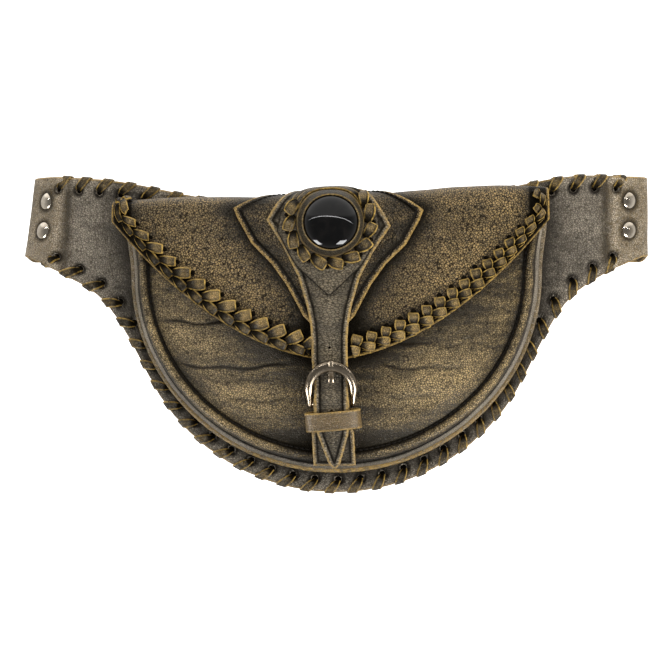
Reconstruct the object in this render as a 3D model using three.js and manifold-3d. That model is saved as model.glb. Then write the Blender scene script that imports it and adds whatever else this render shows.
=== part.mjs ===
// A half-moon leather hip bag in its worn form: a laced hip panel whose wings curve back to
// riveted belt loops, a domed pouch, and a rolled flap closed by a buckled strap with a stone.
// Units are millimetres. The front faces -Y and +Z is up. The origin is in the middle of the
// belt line, on the rear face of the hip panel.

import * as THREE from 'three';
import { mergeVertices } from 'three/addons/utils/BufferGeometryUtils.js';
import Module from 'manifold-3d';

const wasm = await Module();
wasm.setup();

const { clamp, degToRad, lerp, smoothstep } = THREE.MathUtils;
const { abs, asin, cos, exp, floor, max, min, PI, round, sign, sin, sqrt } = Math;

// Driving dimensions

const GAP = 0.3;
const COLOUR = { leather: '#5b4d37', lace: '#7d6a48', stone: '#0b0a0a', nickel: '#c9c2b4' };

// Hip panel: flat behind the pouch, with wings bent round the hip
const PANEL_THICK = 2.6;
const PANEL_MID = PANEL_THICK / 2;
const FLAT_HALF = 113;
const WING_LENGTH = 73.1;
const WING_END = FLAT_HALF + WING_LENGTH;
const HIP_RADIUS = { left: 83, right: 108 };
const LOWER_ARC = { radius: 122.3, centre: -38.2, half: 104, steps: 10 };
const UPPER_EDGE = { middle: 10.5, rise: 12.5, from: 50, to: 150 };
const WING_LOWER = [
  { along: 97, height: -112.7 },
  { along: 104, height: -102.5 },
  { along: 111, height: -89.5 },
  { along: 118, height: -75.5 },
  { along: 125, height: -63 },
  { along: 132, height: -52.8 },
  { along: 140, height: -44.8 },
  { along: 150, height: -38.3 },
  { along: 157.5, height: -34.5 },
  { along: 165, height: -31 },
  { along: 176, height: -27.2 },
  { along: WING_END, height: -24.2 },
];

// Belt loops: each wing end is folded back on itself and riveted
const LOOP = { radius: 6.2, turn: degToRad(238), steps: 7, tailRear: 3.1, fold: 8.2, droop: 3 };
const RIVET = { inboard: 12, height: 8.7, cap: 4.75, rearCap: 2.6, shank: 1.5, hole: 1.8 };
const RIVET_ALONG = WING_END - RIVET.inboard;
const TAIL_END = RIVET_ALONG - 9.5;

// Whip-stitched edge lace
const LACE = { thick: 1.1, atHole: 2.9, atEdge: 4.6, inset: 6.3, pitch: 13.8, trail: 3.5, reach: 172 };
const LACE_HOLE = { radius: 2.05, sides: 6, depth: 16 };

// Pouch: a U-shaped gusset and a domed front, both drawn by their inset from the U
const POUCH = { radius: 114, centre: -34, top: 2, flare: 0.035, sideSteps: 3, arcSteps: 22 };
const GUSSET_THICK = 2;
const FRONT_THICK = 2;
const GUSSET_PROFILE = [
  { inset: 0, forward: 3.9 },
  { inset: 2.2, forward: 3.9 },
  { inset: 3.2, forward: 5.5 },
  { inset: 2.6, forward: 10 },
  { inset: 3.2, forward: 15 },
  { inset: 4.6, forward: 19.4 },
  { inset: 5.95, forward: 21.45 },
];
const FRONT_PROFILE = [
  { inset: 5, forward: 22.6 },
  { inset: 6.2, forward: 24.6 },
  { inset: 8.5, forward: 26 },
  { inset: 11.5, forward: 25.6 },
  { inset: 14, forward: 23.6 },
  { inset: 20, forward: 26 },
  { inset: 40, forward: 30.2 },
  { inset: 70, forward: 34 },
  { inset: POUCH.radius, forward: 35 },
];

// Flap: a crowned front sheet, a half-round roll over the mouth and a tab sewn to the panel
const FLAP = { half: 125, thick: 2.2, sideDepth: 26, crown: 13, tuck: 2.5, drop: 86, rear: 5 };
const ROLL = { rise: 13.4, endFall: 3, dip: 3.5, dipHalf: 40, scale: 14, steps: 8 };
const TAB = { length: 12, step: 2.1, half: 106, narrowFrom: 0.66, narrowTo: 0.88 };
const FLAP_EDGE = { middle: -83.6, slope: 0.09, curve: 0.0044 };
const FLAP_COLUMNS = 20;
const FLAP_ROWS = 4;
const BRAID = { start: 12.4, inset: 4.4, half: 4.6, high: 3.4, low: 2.3, valley: 1.8, pitch: 8 };

// Leather layers on the flap, by their lift above it
const LAYER = {
  kite: { under: 0.3, over: 1.9 },
  strap: { under: 2.2, over: 4.0 },
  patch: { under: 4.3, over: 5.3 },
  trim: { under: 5.9, over: 8.4 },
};
const KITE = [
  { up: -64, half: 9 },
  { up: -58, half: 14.5 },
  { up: -41, half: 23.5 },
  { up: -29, half: 32 },
  { up: -17.5, half: 43 },
  { up: 0, half: 51.5 },
  { up: 5.5, half: 53.5 },
  { up: 22, half: 29 },
  { up: 33, half: 8 },
];
const STRAP_HEAD = [
  { up: -53, half: 12.5 },
  { up: -36, half: 17.3 },
  { up: -19, half: 25.5 },
  { up: -4, half: 34.8 },
  { up: 0, half: 33 },
  { up: 22, half: 17 },
  { up: 27.5, half: 12 },
];
const PATCH = [
  { up: -46.6, half: 1.5 },
  { up: -42.5, half: 8 },
  { up: -24, half: 21.5 },
  { up: -10, half: 29 },
  { up: 0, half: 27 },
  { up: 22, half: 8 },
];

// Stone, its collar and the braided ring round it
const STONE = { radius: 15, girdle: 2.2, dome: 7.5, up: -6, tilt: degToRad(8), segments: 20 };
const COLLAR = { wall: 1.5, base: 18, shoulder: 16.3, shoulderLift: 2.2, lip: 15.4, lipLift: 4.8 };
const RING = { inner: 19.2, outer: 25.2, wraps: 13, steps: 3 };

// Buckle strap: it slopes up from the pouch rim and folds round the buckle bar
const RAMP = { forward: 27.4, height: -139, tilt: degToRad(21.16) };
const BUCKLE_STRAP = { thick: 1.8, end: -4.8, bar: 32.7, slot: 2.3, slotReach: 6.5 };
const BUCKLE_FOLD = { bend: 2.75, turn: degToRad(215), steps: 6 };
const BUCKLE_RETURN = [
  { up: 28, lift: -2.1 },
  { up: 20.7, lift: -2.1 },
];
const BUCKLE_STRAP_HALF = [
  { up: -4.8, half: 12 },
  { up: 15, half: 12 },
  { up: 26, half: 10.1 },
];
const LEAN = { from: -109, slope: 0.045 };

// Strap tail, from the kite down through the buckle to its pointed tip
const STRAP_THICK = LAYER.strap.over - LAYER.strap.under;
const STRAP_TAIL = [
  { forward: 40.2, height: -101, half: 9.6 },
  { forward: 37.9, height: -94.5, half: 9.6 },
  { forward: 38.1, height: -88, half: 10 },
  { forward: 38.6, height: -81, half: 10.2 },
  { forward: 39.7, height: -71, half: 10.2 },
  { forward: 41, height: -62.5, half: 10.8 },
];
const STRAP_RAMP = [
  { up: -5.6, half: 0.8 },
  { up: -2.4, half: 3.3 },
  { up: 15.9, half: 8.8 },
  { up: 22.3, half: 9.6 },
  { up: 35, half: 9.6 },
];
const STRAP_RAMP_LIFT = 2.3;
const STRAP_HOLES = [-76, -111.6];
const PRONG_SLOT = { half: 2, low: -100, high: -93.5, rear: 34, front: 44 };
const STRAP_HOLE_RADIUS = 1.2;

// Buckle and keeper
const BUCKLE = { bar: 1.5, tilt: degToRad(20), endHalf: 11.9, half: 12.9, straight: 8.6, rise: 13 };
const BUCKLE_BAND = { end: 3, side: 4.2, top: 5.6, depth: 3.6, steps: 12 };
const PRONG = { wide: 3, thick: 1.6, bend: 2.6, start: degToRad(80), steps: 9 };
const PRONG_PATH = [
  { forward: 38.1, height: -103.5 },
  { forward: 37.4, height: -100.5 },
  { forward: 45.8, height: -90.6 },
  { forward: 47.9, height: -84.4 },
];
const KEEPER = { up: 21.6, tall: 10.6, half: 14.2, wall: 1.5, front: 4, rear: -3.5, bevel: 0.8 };
const KEEPER_ROLL = degToRad(-5);

// Shared shape helpers

const point = (x, forward, height) => new THREE.Vector3(x, -forward, height);

const count = (total) => Array.from({ length: total }, (_, i) => i);

// Straight reading of a table whose rows rise in one named column
function readTable(rows, key, column, at) {
  const next = rows.findIndex((row) => row[key] >= at);
  if (next === 0) return rows[0][column];
  if (next < 0) return rows[rows.length - 1][column];
  const low = rows[next - 1];
  const high = rows[next];
  return lerp(low[column], high[column], (at - low[key]) / (high[key] - low[key]));
}

// Closed triangle mesh from points and faces: merged, without collapsed faces, facing out
function closedMesh(points, faces) {
  const raw = new THREE.BufferGeometry().setFromPoints(points);
  raw.setIndex(faces);
  const merged = mergeVertices(raw, 1e-4);
  const places = merged.getAttribute('position');
  const corner = (i) => new THREE.Vector3().fromBufferAttribute(places, i);
  const kept = [];
  let volume = 0;
  for (let i = 0; i < faces.length; i += 3) {
    const [a, b, c] = [0, 1, 2].map((k) => merged.index.getX(i + k));
    if (a === b || b === c || c === a) continue;
    kept.push([a, b, c]);
    volume += corner(a).dot(corner(b).cross(corner(c)));
  }
  merged.setIndex(kept.flatMap(([a, b, c]) => (volume > 0 ? [a, b, c] : [a, c, b])));
  return merged;
}

// Sheet between two grids of points; a ring wraps round, a seamed sheet folds onto its last row
function sheet(outer, inner, { ring = false, seamed = false } = {}) {
  const columns = outer.length;
  const rows = outer[0].length;
  const faces = [];
  const outerAt = (i, j) => (i % columns) * rows + j;
  const innerAt = (i, j) => outerAt(i, j) + columns * rows;
  const quad = (a, b, c, d) => faces.push(a, b, c, a, c, d);
  const spans = ring ? columns : columns - 1;
  for (const i of count(spans)) {
    for (const j of count(rows - 1)) {
      quad(outerAt(i, j), outerAt(i + 1, j), outerAt(i + 1, j + 1), outerAt(i, j + 1));
      quad(innerAt(i, j), innerAt(i, j + 1), innerAt(i + 1, j + 1), innerAt(i + 1, j));
    }
    const j = rows - 1;
    quad(outerAt(i, 0), innerAt(i, 0), innerAt(i + 1, 0), outerAt(i + 1, 0));
    if (!seamed) quad(outerAt(i, j), outerAt(i + 1, j), innerAt(i + 1, j), innerAt(i, j));
  }
  if (!ring) {
    const i = columns - 1;
    for (const j of count(rows - 1)) {
      quad(outerAt(0, j), outerAt(0, j + 1), innerAt(0, j + 1), innerAt(0, j));
      quad(outerAt(i, j), innerAt(i, j), innerAt(i, j + 1), outerAt(i, j + 1));
    }
  }
  return closedMesh([...outer.flat(), ...inner.flat()], faces);
}

// Bar through closed sections with the same number of points; a ring joins its ends
function loft(sections, ring = false) {
  const sides = sections[0].length;
  const last = sections.length - 1;
  const faces = [];
  const at = (i, k) => (i % sections.length) * sides + (k % sides);
  for (const i of count(ring ? sections.length : last)) {
    for (const k of count(sides)) {
      faces.push(at(i, k), at(i, k + 1), at(i + 1, k + 1));
      faces.push(at(i, k), at(i + 1, k + 1), at(i + 1, k));
    }
  }
  for (let k = 1; k < sides - 1 && !ring; k++) {
    faces.push(at(0, 0), at(0, k + 1), at(0, k));
    faces.push(at(last, 0), at(last, k), at(last, k + 1));
  }
  return closedMesh(sections.flat(), faces);
}

// Unit normals of a flat path, on the left of its direction, stretched to mitre the corners
function pathNormals(path) {
  const leftOf = (a, b) => new THREE.Vector2(a.y - b.y, b.x - a.x).normalize();
  return path.map((here, i) => {
    const before = i > 0 ? leftOf(path[i - 1], here) : leftOf(here, path[i + 1]);
    const after = i < path.length - 1 ? leftOf(here, path[i + 1]) : before;
    const middle = before.clone().add(after).normalize();
    return middle.divideScalar(max(0.6, middle.dot(before)));
  });
}

function toSolid(geometry) {
  const bare = geometry.clone();
  bare.deleteAttribute('normal');
  bare.deleteAttribute('uv');
  const merged = mergeVertices(bare, 1e-4);
  const vertProperties = new Float32Array(merged.getAttribute('position').array);
  const triVerts = new Uint32Array(merged.index.array);
  return new wasm.Manifold(new wasm.Mesh({ numProp: 3, vertProperties, triVerts }));
}

function toGeometry(solid) {
  const { vertProperties, triVerts } = solid.getMesh();
  const geometry = new THREE.BufferGeometry();
  geometry.setAttribute('position', new THREE.BufferAttribute(vertProperties, 3));
  geometry.setIndex(new THREE.BufferAttribute(triVerts, 1));
  return geometry;
}

const cut = (geometry, cutters) =>
  toGeometry(cutters.reduce((solid, cutter) => solid.subtract(toSolid(cutter)), toSolid(geometry)));

// Solid of revolution about the Y axis from rows of radius and lift
const turned = (profile, segments) =>
  new THREE.LatheGeometry(profile.map(({ radius, lift }) => new THREE.Vector2(radius, lift)), segments);

// Round punch along a direction
function punch(centre, direction, radius, length, sides) {
  const turn = new THREE.Quaternion().setFromUnitVectors(new THREE.Vector3(0, 1, 0), direction);
  const place = new THREE.Matrix4().compose(centre, turn, new THREE.Vector3(1, 1, 1));
  return new THREE.CylinderGeometry(radius, radius, length, sides).applyMatrix4(place);
}

// Box between two corners given as across, forward and height
function block(low, high) {
  const size = high.map((value, i) => value - low[i]);
  const middle = high.map((value, i) => (value + low[i]) / 2);
  return new THREE.BoxGeometry(...size).translate(middle[0], -middle[1], middle[2]);
}

const bag = new THREE.Group();

function addPiece(name, geometry, finish) {
  const metal = finish === 'nickel';
  const shine = { leather: 0.62, lace: 0.6, stone: 0.08, nickel: 0.25 }[finish];
  const settings = { color: COLOUR[finish], roughness: shine, metalness: metal ? 1 : 0 };
  const mesh = new THREE.Mesh(geometry, new THREE.MeshStandardMaterial(settings));
  mesh.name = name;
  bag.add(mesh);
  return mesh;
}

// Hip panel

// Radius and turn of the wing at a distance along the panel; the left wing is bent further
function wingBend(along) {
  const radius = along < 0 ? HIP_RADIUS.left : HIP_RADIUS.right;
  const bend = clamp(abs(along) - FLAT_HALF, 0, WING_LENGTH) / radius;
  return { radius, bend };
}

// Point at a distance along the panel, a depth behind its middle layer and a height
function panelPoint(along, rear, height) {
  const { radius, bend } = wingBend(along);
  const past = max(0, abs(along) - WING_END);
  const arm = radius - rear;
  const x = min(abs(along), FLAT_HALF) + arm * sin(bend) + past * cos(bend);
  const forward = PANEL_MID - rear - arm * (1 - cos(bend)) - past * sin(bend);
  return point(along < 0 ? -x : x, forward, height);
}

function panelFrame(along) {
  const turn = wingBend(along).bend * sign(along);
  const tangent = new THREE.Vector3(cos(turn), sin(turn), 0);
  const normal = new THREE.Vector3(sin(turn), -cos(turn), 0);
  return { tangent, normal };
}

function lowerEdge(along) {
  const reach = abs(along);
  if (reach > LOWER_ARC.half) return readTable(WING_LOWER, 'along', 'height', reach);
  return LOWER_ARC.centre - sqrt(LOWER_ARC.radius ** 2 - reach ** 2);
}

function upperEdge(along) {
  return UPPER_EDGE.middle + UPPER_EDGE.rise * smoothstep(abs(along), UPPER_EDGE.from, UPPER_EDGE.to);
}

// Stations of one half of the panel, from the middle out, round the loop and along the tail
function panelStations() {
  const step = asin(LOWER_ARC.half / LOWER_ARC.radius) / LOWER_ARC.steps;
  const flat = count(LOWER_ARC.steps).map((i) => LOWER_ARC.radius * sin(step * (i + 1)));
  const wing = WING_LOWER.map((row) => row.along).filter((along) => along > LOWER_ARC.half);
  const front = [...flat, ...wing].map((along) => new THREE.Vector2(along, 0));
  const loop = count(LOOP.steps).map((i) => {
    const turn = (LOOP.turn * (i + 1)) / LOOP.steps;
    return new THREE.Vector2(WING_END + LOOP.radius * sin(turn), LOOP.radius * (1 - cos(turn)));
  });
  const tail = [WING_END - LOOP.fold, RIVET_ALONG, (RIVET_ALONG + TAIL_END) / 2, TAIL_END];
  const path = [...front, ...loop, ...tail.map((along) => new THREE.Vector2(along, LOOP.tailRear))];
  const normals = pathNormals(path);
  return path.map((place, i) => ({ place, normal: normals[i] }));
}

function backPanel(holes) {
  const half = panelStations();
  const middle = { place: new THREE.Vector2(0, 0), normal: new THREE.Vector2(0, 1) };
  const mirrored = half.map(({ place, normal }) => ({
    place: new THREE.Vector2(-place.x, place.y),
    normal: new THREE.Vector2(-normal.x, normal.y),
  }));
  const stations = [...mirrored.reverse(), middle, ...half];
  const face = (offset) =>
    stations.map(({ place, normal }) => {
      const layer = place.clone().addScaledVector(normal, offset);
      const folded = smoothstep(place.y, 0, 8) * smoothstep(abs(place.x), RIVET_ALONG, WING_END);
      const low = lowerEdge(place.x) - LOOP.droop * folded;
      return [low, upperEdge(place.x)].map((height) => panelPoint(layer.x, layer.y, height));
    });
  return cut(sheet(face(-PANEL_MID), face(PANEL_MID)), holes);
}

// Edge lace

// Edge of the panel as a flat curve that is read by the distance along it
function edgeReader(heightAt, from, to) {
  const places = count(121).map((i) => {
    const along = lerp(from, to, i / 120);
    return new THREE.Vector2(along, heightAt(along));
  });
  const curve = new THREE.SplineCurve(places);
  curve.arcLengthDivisions = 800;
  const length = curve.getLength();
  const read = (distance, inset) => {
    const share = clamp(distance / length, 0, 1);
    const tangent = curve.getTangentAt(share);
    const inward = new THREE.Vector2(-tangent.y, tangent.x);
    const place = curve.getPointAt(share).addScaledVector(inward, inset);
    return { place, tangent, inward };
  };
  return { length, read };
}

function laceDistances(length) {
  const total = floor(length / LACE.pitch);
  return count(total).map((i) => (length * (i + 0.5)) / total);
}

// Section of the lace, set across the corner between two faces of the panel edge
function laceSection({ place, tangent, inward }, rear, width, front, out) {
  const frame = panelFrame(place.x);
  const lift = (flat) => frame.tangent.clone().multiplyScalar(flat.x).add(new THREE.Vector3(0, 0, flat.y));
  const across = lift(tangent).multiplyScalar(width / 2);
  const corner = frame.normal.clone().multiplyScalar(front).addScaledVector(lift(inward), -out);
  corner.multiplyScalar(LACE.thick / 2);
  const centre = panelPoint(place.x, rear, place.y);
  return [[1, 1], [-1, 1], [-1, -1], [1, -1]].map(([side, height]) =>
    centre.clone().addScaledVector(across, side).addScaledVector(corner, height));
}

function edgeLace(edge) {
  const clear = PANEL_MID + GAP + LACE.thick / 2;
  const distances = laceDistances(edge.length);
  const rearOf = (...stations) => {
    const reach = max(...stations.map(({ place }) => abs(place.x)));
    return clear + (reach > TAIL_END - LACE.atEdge ? LOOP.tailRear : 0);
  };
  const holes = distances.map((distance) => edge.read(distance, LACE.inset));
  const sections = [laceSection(holes[0], rearOf(holes[0]), LACE.atHole, -1, -1)];
  holes.forEach((hole, i) => {
    sections.push(laceSection(hole, -clear, LACE.atHole, 1, -1));
    if (i === holes.length - 1) return;
    const rim = edge.read(distances[i] - LACE.trail, -GAP - LACE.thick / 2);
    const rear = rearOf(rim, holes[i + 1]);
    sections.push(laceSection(rim, -clear, LACE.atEdge, 1, 1));
    sections.push(laceSection(rim, rear, LACE.atEdge, -1, 1));
    sections.push(laceSection(holes[i + 1], rear, LACE.atHole, -1, -1));
  });
  return loft(sections);
}

function laceHoles(edge) {
  return laceDistances(edge.length).map((distance) => {
    const { place } = edge.read(distance, LACE.inset);
    const centre = panelPoint(place.x, 0, place.y);
    return punch(centre, panelFrame(place.x).normal, LACE_HOLE.radius, LACE_HOLE.depth, LACE_HOLE.sides);
  });
}

// Rivets

function rivet() {
  const front = PANEL_MID + GAP;
  const back = -(LOOP.tailRear + PANEL_MID + GAP);
  return turned([
    { radius: 0, lift: back - 1.2 },
    { radius: RIVET.rearCap, lift: back - 0.9 },
    { radius: RIVET.rearCap, lift: back },
    { radius: RIVET.shank, lift: back },
    { radius: RIVET.shank, lift: front },
    { radius: RIVET.cap, lift: front },
    { radius: RIVET.cap, lift: front + 0.6 },
    { radius: RIVET.cap * 0.7, lift: front + 1.8 },
    { radius: 0, lift: front + 2.3 },
  ], 10);
}

function rivetPlaces() {
  return [-1, 1].flatMap((side) => [-1, 1].map((level) => ({
    name: `rivet_${side < 0 ? 'left' : 'right'}_${level < 0 ? 'lower' : 'upper'}`,
    along: side * RIVET_ALONG,
    height: level * RIVET.height,
  })));
}

// Pouch

// Places along the U, from the top left down, round and up to the top right
function pouchTrack() {
  const side = count(POUCH.sideSteps).map((i) => lerp(POUCH.top, POUCH.centre, i / POUCH.sideSteps));
  const left = side.map((height) => ({ across: -1, height, turn: 0 }));
  const right = side.map((height) => ({ across: 1, height, turn: 0 })).reverse();
  const arc = count(POUCH.arcSteps + 1).map((i) => {
    const turn = PI * (1 + i / POUCH.arcSteps);
    return { across: cos(turn), height: POUCH.centre, turn };
  });
  return [...left, ...arc, ...right];
}

function pouchPoint({ across, height, turn }, inset, forward) {
  const radius = POUCH.radius - inset;
  const flare = 1 + POUCH.flare * smoothstep(height, POUCH.centre, POUCH.top);
  return point(radius * across * flare, forward, height + radius * sin(turn));
}

function profileGrid(profile, offset, settle) {
  const path = profile.map((row) => new THREE.Vector2(row.inset, row.forward));
  const normals = pathNormals(path);
  if (settle) normals[normals.length - 1].set(0, 1);
  const shifted = path.map((place, i) => place.clone().addScaledVector(normals[i], offset));
  return pouchTrack().map((track) => shifted.map((place) => pouchPoint(track, place.x, place.y)));
}

const gusset = () =>
  sheet(profileGrid(GUSSET_PROFILE, GUSSET_THICK / 2), profileGrid(GUSSET_PROFILE, -GUSSET_THICK / 2));

const pouchFront = () =>
  sheet(profileGrid(FRONT_PROFILE, 0), profileGrid(FRONT_PROFILE, -FRONT_THICK, true), { seamed: true });

// Flap and the pieces that lie on it

const flapEdge = (x) => FLAP_EDGE.middle + FLAP_EDGE.slope * abs(x) + FLAP_EDGE.curve * x ** 2;

// Outer face of the flap by the distance across and up from the front of the roll
function flapFace(x, up) {
  const share = x / FLAP.half;
  const depth = FLAP.sideDepth + FLAP.crown * (1 - share ** 2);
  if (up < 0) return point(x, depth - FLAP.tuck * (up / FLAP.drop) ** 2, up);
  const turn = up / ROLL.scale;
  const rise = ROLL.rise - ROLL.endFall * share ** 4 - ROLL.dip * exp(-((x / ROLL.dipHalf) ** 2));
  const roll = (depth - FLAP.rear) / 2;
  if (turn < PI) return point(x, FLAP.rear + roll * (1 + cos(turn)), rise * sin(turn));
  const down = up - PI * ROLL.scale;
  return point(x, FLAP.rear - TAB.step * smoothstep(down, 0, TAB.length / 3), -down);
}

function flapPoint(x, up, lift) {
  const near = 0.01;
  const across = flapFace(x + near, up).sub(flapFace(x - near, up));
  const rise = flapFace(x, up + near).sub(flapFace(x, up - near));
  return flapFace(x, up).addScaledVector(across.cross(rise).normalize(), lift);
}

const rollStation = (i) => (i * PI * ROLL.scale) / ROLL.steps;

function flap() {
  const roll = count(ROLL.steps + 1).map(rollStation);
  const tab = [1, 2, 3].map((i) => PI * ROLL.scale + (TAB.length * i) / 3);
  const halfAt = (up) => {
    const narrow = smoothstep(up / (PI * ROLL.scale), TAB.narrowFrom, TAB.narrowTo);
    return lerp(FLAP.half, TAB.half, narrow);
  };
  const face = (lift) => count(FLAP_COLUMNS + 1).map((i) => {
    const share = (2 * i) / FLAP_COLUMNS - 1;
    const hang = count(FLAP_ROWS).map((j) => flapEdge(share * FLAP.half) * (1 - j / FLAP_ROWS));
    return [...hang, ...roll, ...tab].map((up) => flapPoint(share * halfAt(up), up, lift));
  });
  return sheet(face(0), face(-FLAP.thick));
}

// Heights of the rows of a piece that lies on the flap: its own rows, then those of the roll
function layerRows(outline) {
  const top = outline[outline.length - 1].up;
  const hang = outline.map((row) => row.up).filter((up) => up < 0);
  const roll = count(floor(top / rollStation(1) + 0.02) + 1).map(rollStation);
  return [...hang, ...roll];
}

const layerRow = (outline, up, lift, columns) => count(columns + 1).map((i) => {
  const share = (2 * i) / columns - 1;
  return flapPoint(share * readTable(outline, 'up', 'half', up), up, lift);
});

function layerSheet(outline, { under, over }, columns = 6) {
  const rows = layerRows(outline);
  const face = (lift) => rows.map((up) => layerRow(outline, up, lift, columns));
  return sheet(face(over), face(under));
}

// Braid along one half of the flap edge and up its side
function flapBraid(side) {
  const along = count(10).map((i) => {
    const x = lerp(BRAID.start, FLAP.half - 8, i / 9);
    const slope = FLAP_EDGE.slope + 2 * FLAP_EDGE.curve * x;
    const inward = new THREE.Vector2(-slope, 1).normalize().multiplyScalar(BRAID.inset);
    return new THREE.Vector2(x, flapEdge(x)).add(inward);
  });
  const rise = [1, 14, 27].map((up) => new THREE.Vector2(FLAP.half - BRAID.half, up));
  const curve = new THREE.SplineCurve([...along, ...rise]);
  const total = 2 * round(curve.getLength() / BRAID.pitch);
  const sections = count(total + 1).map((i) => {
    const place = curve.getPointAt(i / total);
    const tangent = curve.getTangentAt(i / total);
    const [near, far] = i % 2 ? [BRAID.high, BRAID.low] : [BRAID.low, BRAID.high];
    const outline = [
      [-BRAID.half, GAP],
      [BRAID.half, GAP],
      [BRAID.half * 0.6, near],
      [0, BRAID.valley],
      [-BRAID.half * 0.6, far],
    ];
    return outline.map(([across, lift]) => {
      const spot = place.clone().addScaledVector(new THREE.Vector2(-tangent.y, tangent.x), across);
      return flapPoint(side * spot.x, spot.y, lift);
    });
  });
  return loft(sections);
}

// Slope of the buckle strap: a distance up along it and a lift in front of it

function rampPoint(x, up, lift) {
  const forward = RAMP.forward + up * sin(RAMP.tilt) + lift * cos(RAMP.tilt);
  return point(x, forward, RAMP.height + up * cos(RAMP.tilt) - lift * sin(RAMP.tilt));
}

const leanBy = (height) => LEAN.slope * max(0, LEAN.from - height);

const barPlace = rampPoint(0, BUCKLE_STRAP.bar, -BUCKLE_FOLD.bend);

// Strap: the inner kite head on the flap and the tail that runs through the buckle
function strap() {
  const columns = 6;
  const shares = count(columns + 1).map((i) => (2 * i) / columns - 1);
  const ramp = STRAP_RAMP.map(({ up, half }) => {
    const place = rampPoint(0, up, STRAP_RAMP_LIFT);
    return { forward: -place.y, height: place.z, half };
  });
  const tail = [...ramp, ...STRAP_TAIL];
  const path = tail.map((row) => new THREE.Vector2(row.forward, row.height));
  const normals = pathNormals(path);
  const tailFace = (offset) => tail.map(({ half }, i) => {
    const place = path[i].clone().addScaledVector(normals[i], offset);
    return shares.map((share) => point(share * half + leanBy(place.y), place.x, place.y));
  });
  const headFace = (lift) =>
    layerRows(STRAP_HEAD).map((up) => layerRow(STRAP_HEAD, up, lift, columns));
  const outer = [...tailFace(-STRAP_THICK / 2), ...headFace(LAYER.strap.over)];
  const inner = [...tailFace(STRAP_THICK / 2), ...headFace(LAYER.strap.under)];
  const { half, rear, front, low, high } = PRONG_SLOT;
  const through = new THREE.Vector3(0, 1, 0);
  const holes = STRAP_HOLES.map((height) =>
    punch(point(leanBy(height), (rear + front) / 2, height), through, STRAP_HOLE_RADIUS, front - rear, 8));
  const slot = block([-half, rear, low], [half, front, high]);
  return cut(sheet(outer, inner), [...holes, slot]);
}

// Stone: a seat plane that rests on the patch, leaning back a little

const stoneNormal = point(0, cos(STONE.tilt), sin(STONE.tilt));
const stoneUp = point(0, -sin(STONE.tilt), cos(STONE.tilt));

function stoneSeat() {
  const start = flapPoint(0, STONE.up, 0);
  const lifts = count(9).flatMap((i) => count(9).map((j) => {
    const x = lerp(-STONE.radius, STONE.radius, i / 8);
    const up = lerp(-STONE.radius, STONE.radius, j / 8);
    return flapPoint(x, STONE.up + up, LAYER.patch.over).sub(start).dot(stoneNormal);
  }));
  return start.addScaledVector(stoneNormal, max(...lifts) + GAP);
}

const seat = stoneSeat();

const seatPoint = (radius, turn, lift) =>
  seat.clone()
    .add(new THREE.Vector3(radius * cos(turn), 0, 0))
    .addScaledVector(stoneUp, radius * sin(turn))
    .addScaledVector(stoneNormal, lift);

const drapedPoint = (radius, turn, lift) =>
  flapPoint(radius * cos(turn), STONE.up + radius * sin(turn), lift);

function stone() {
  const { radius, girdle, dome, segments } = STONE;
  const bevel = { radius: radius - 0.4, lift: 0 };
  const wall = { radius, lift: 0.6 };
  const crown = count(6).map((i) => {
    const turn = (PI / 2) * (i / 5);
    return { radius: radius * cos(turn), lift: girdle + dome * sin(turn) };
  });
  return turned([{ radius: 0, lift: 0 }, bevel, wall, ...crown], segments);
}

function stoneCollar() {
  const turns = count(24).map((i) => (2 * PI * i) / 24);
  const face = (offset) => turns.map((turn) => [
    drapedPoint(COLLAR.base + offset, turn, LAYER.patch.over + GAP),
    seatPoint(COLLAR.shoulder + offset, turn, COLLAR.shoulderLift),
    seatPoint(COLLAR.lip + offset, turn, COLLAR.lipLift),
  ]);
  return sheet(face(COLLAR.wall / 2), face(-COLLAR.wall / 2), { ring: true });
}

// Ring of lapped wraps: each wrap swells from its tucked start to its raised end
function stoneBraid() {
  const { under, over } = LAYER.trim;
  const total = RING.wraps * RING.steps;
  const sections = count(total).map((i) => {
    const turn = (2 * PI * i) / total;
    const swell = lerp(0.4, 1, (i % RING.steps) / (RING.steps - 1));
    const top = lerp(under, over, swell);
    const shoulder = lerp(under, over, swell * 0.75);
    const wide = RING.outer - RING.inner;
    const outline = [
      [RING.inner, under],
      [RING.outer, under],
      [RING.outer - wide * 0.08, shoulder],
      [RING.inner + wide / 2, top],
      [RING.inner + wide * 0.05, shoulder],
    ];
    return outline.map(([radius, lift]) => drapedPoint(radius, turn, lift));
  });
  return loft(sections, true);
}

// Buckle strap: up the slope, round the buckle bar and back down behind itself
function buckleStrap() {
  const { bar, end, thick, slot, slotReach } = BUCKLE_STRAP;
  const { bend, turn, steps } = BUCKLE_FOLD;
  const rise = [end, 5, 15, 20, 26, bar].map((up) => new THREE.Vector2(up, 0));
  const fold = count(steps).map((i) => {
    const angle = PI / 2 - (turn * (i + 1)) / steps;
    return new THREE.Vector2(bar + bend * cos(angle), -bend + bend * sin(angle));
  });
  const back = BUCKLE_RETURN.map(({ up, lift }) => new THREE.Vector2(up, lift));
  const path = [...rise, ...fold, ...back];
  const normals = pathNormals(path);
  const face = (offset) => path.map((place, i) => {
    const half = readTable(BUCKLE_STRAP_HALF, 'up', 'half', place.x);
    const { x, y } = place.clone().addScaledVector(normals[i], offset);
    return [-1, 1].map((side) => {
      const spot = rampPoint(side * half, x, y);
      spot.x += leanBy(spot.z);
      return spot;
    });
  });
  const slotAt = (side) => [side * slot, side * slotReach - barPlace.y, side * slotReach + barPlace.z];
  return cut(sheet(face(thick / 2), face(-thick / 2)), [block(slotAt(-1), slotAt(1))]);
}

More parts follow.
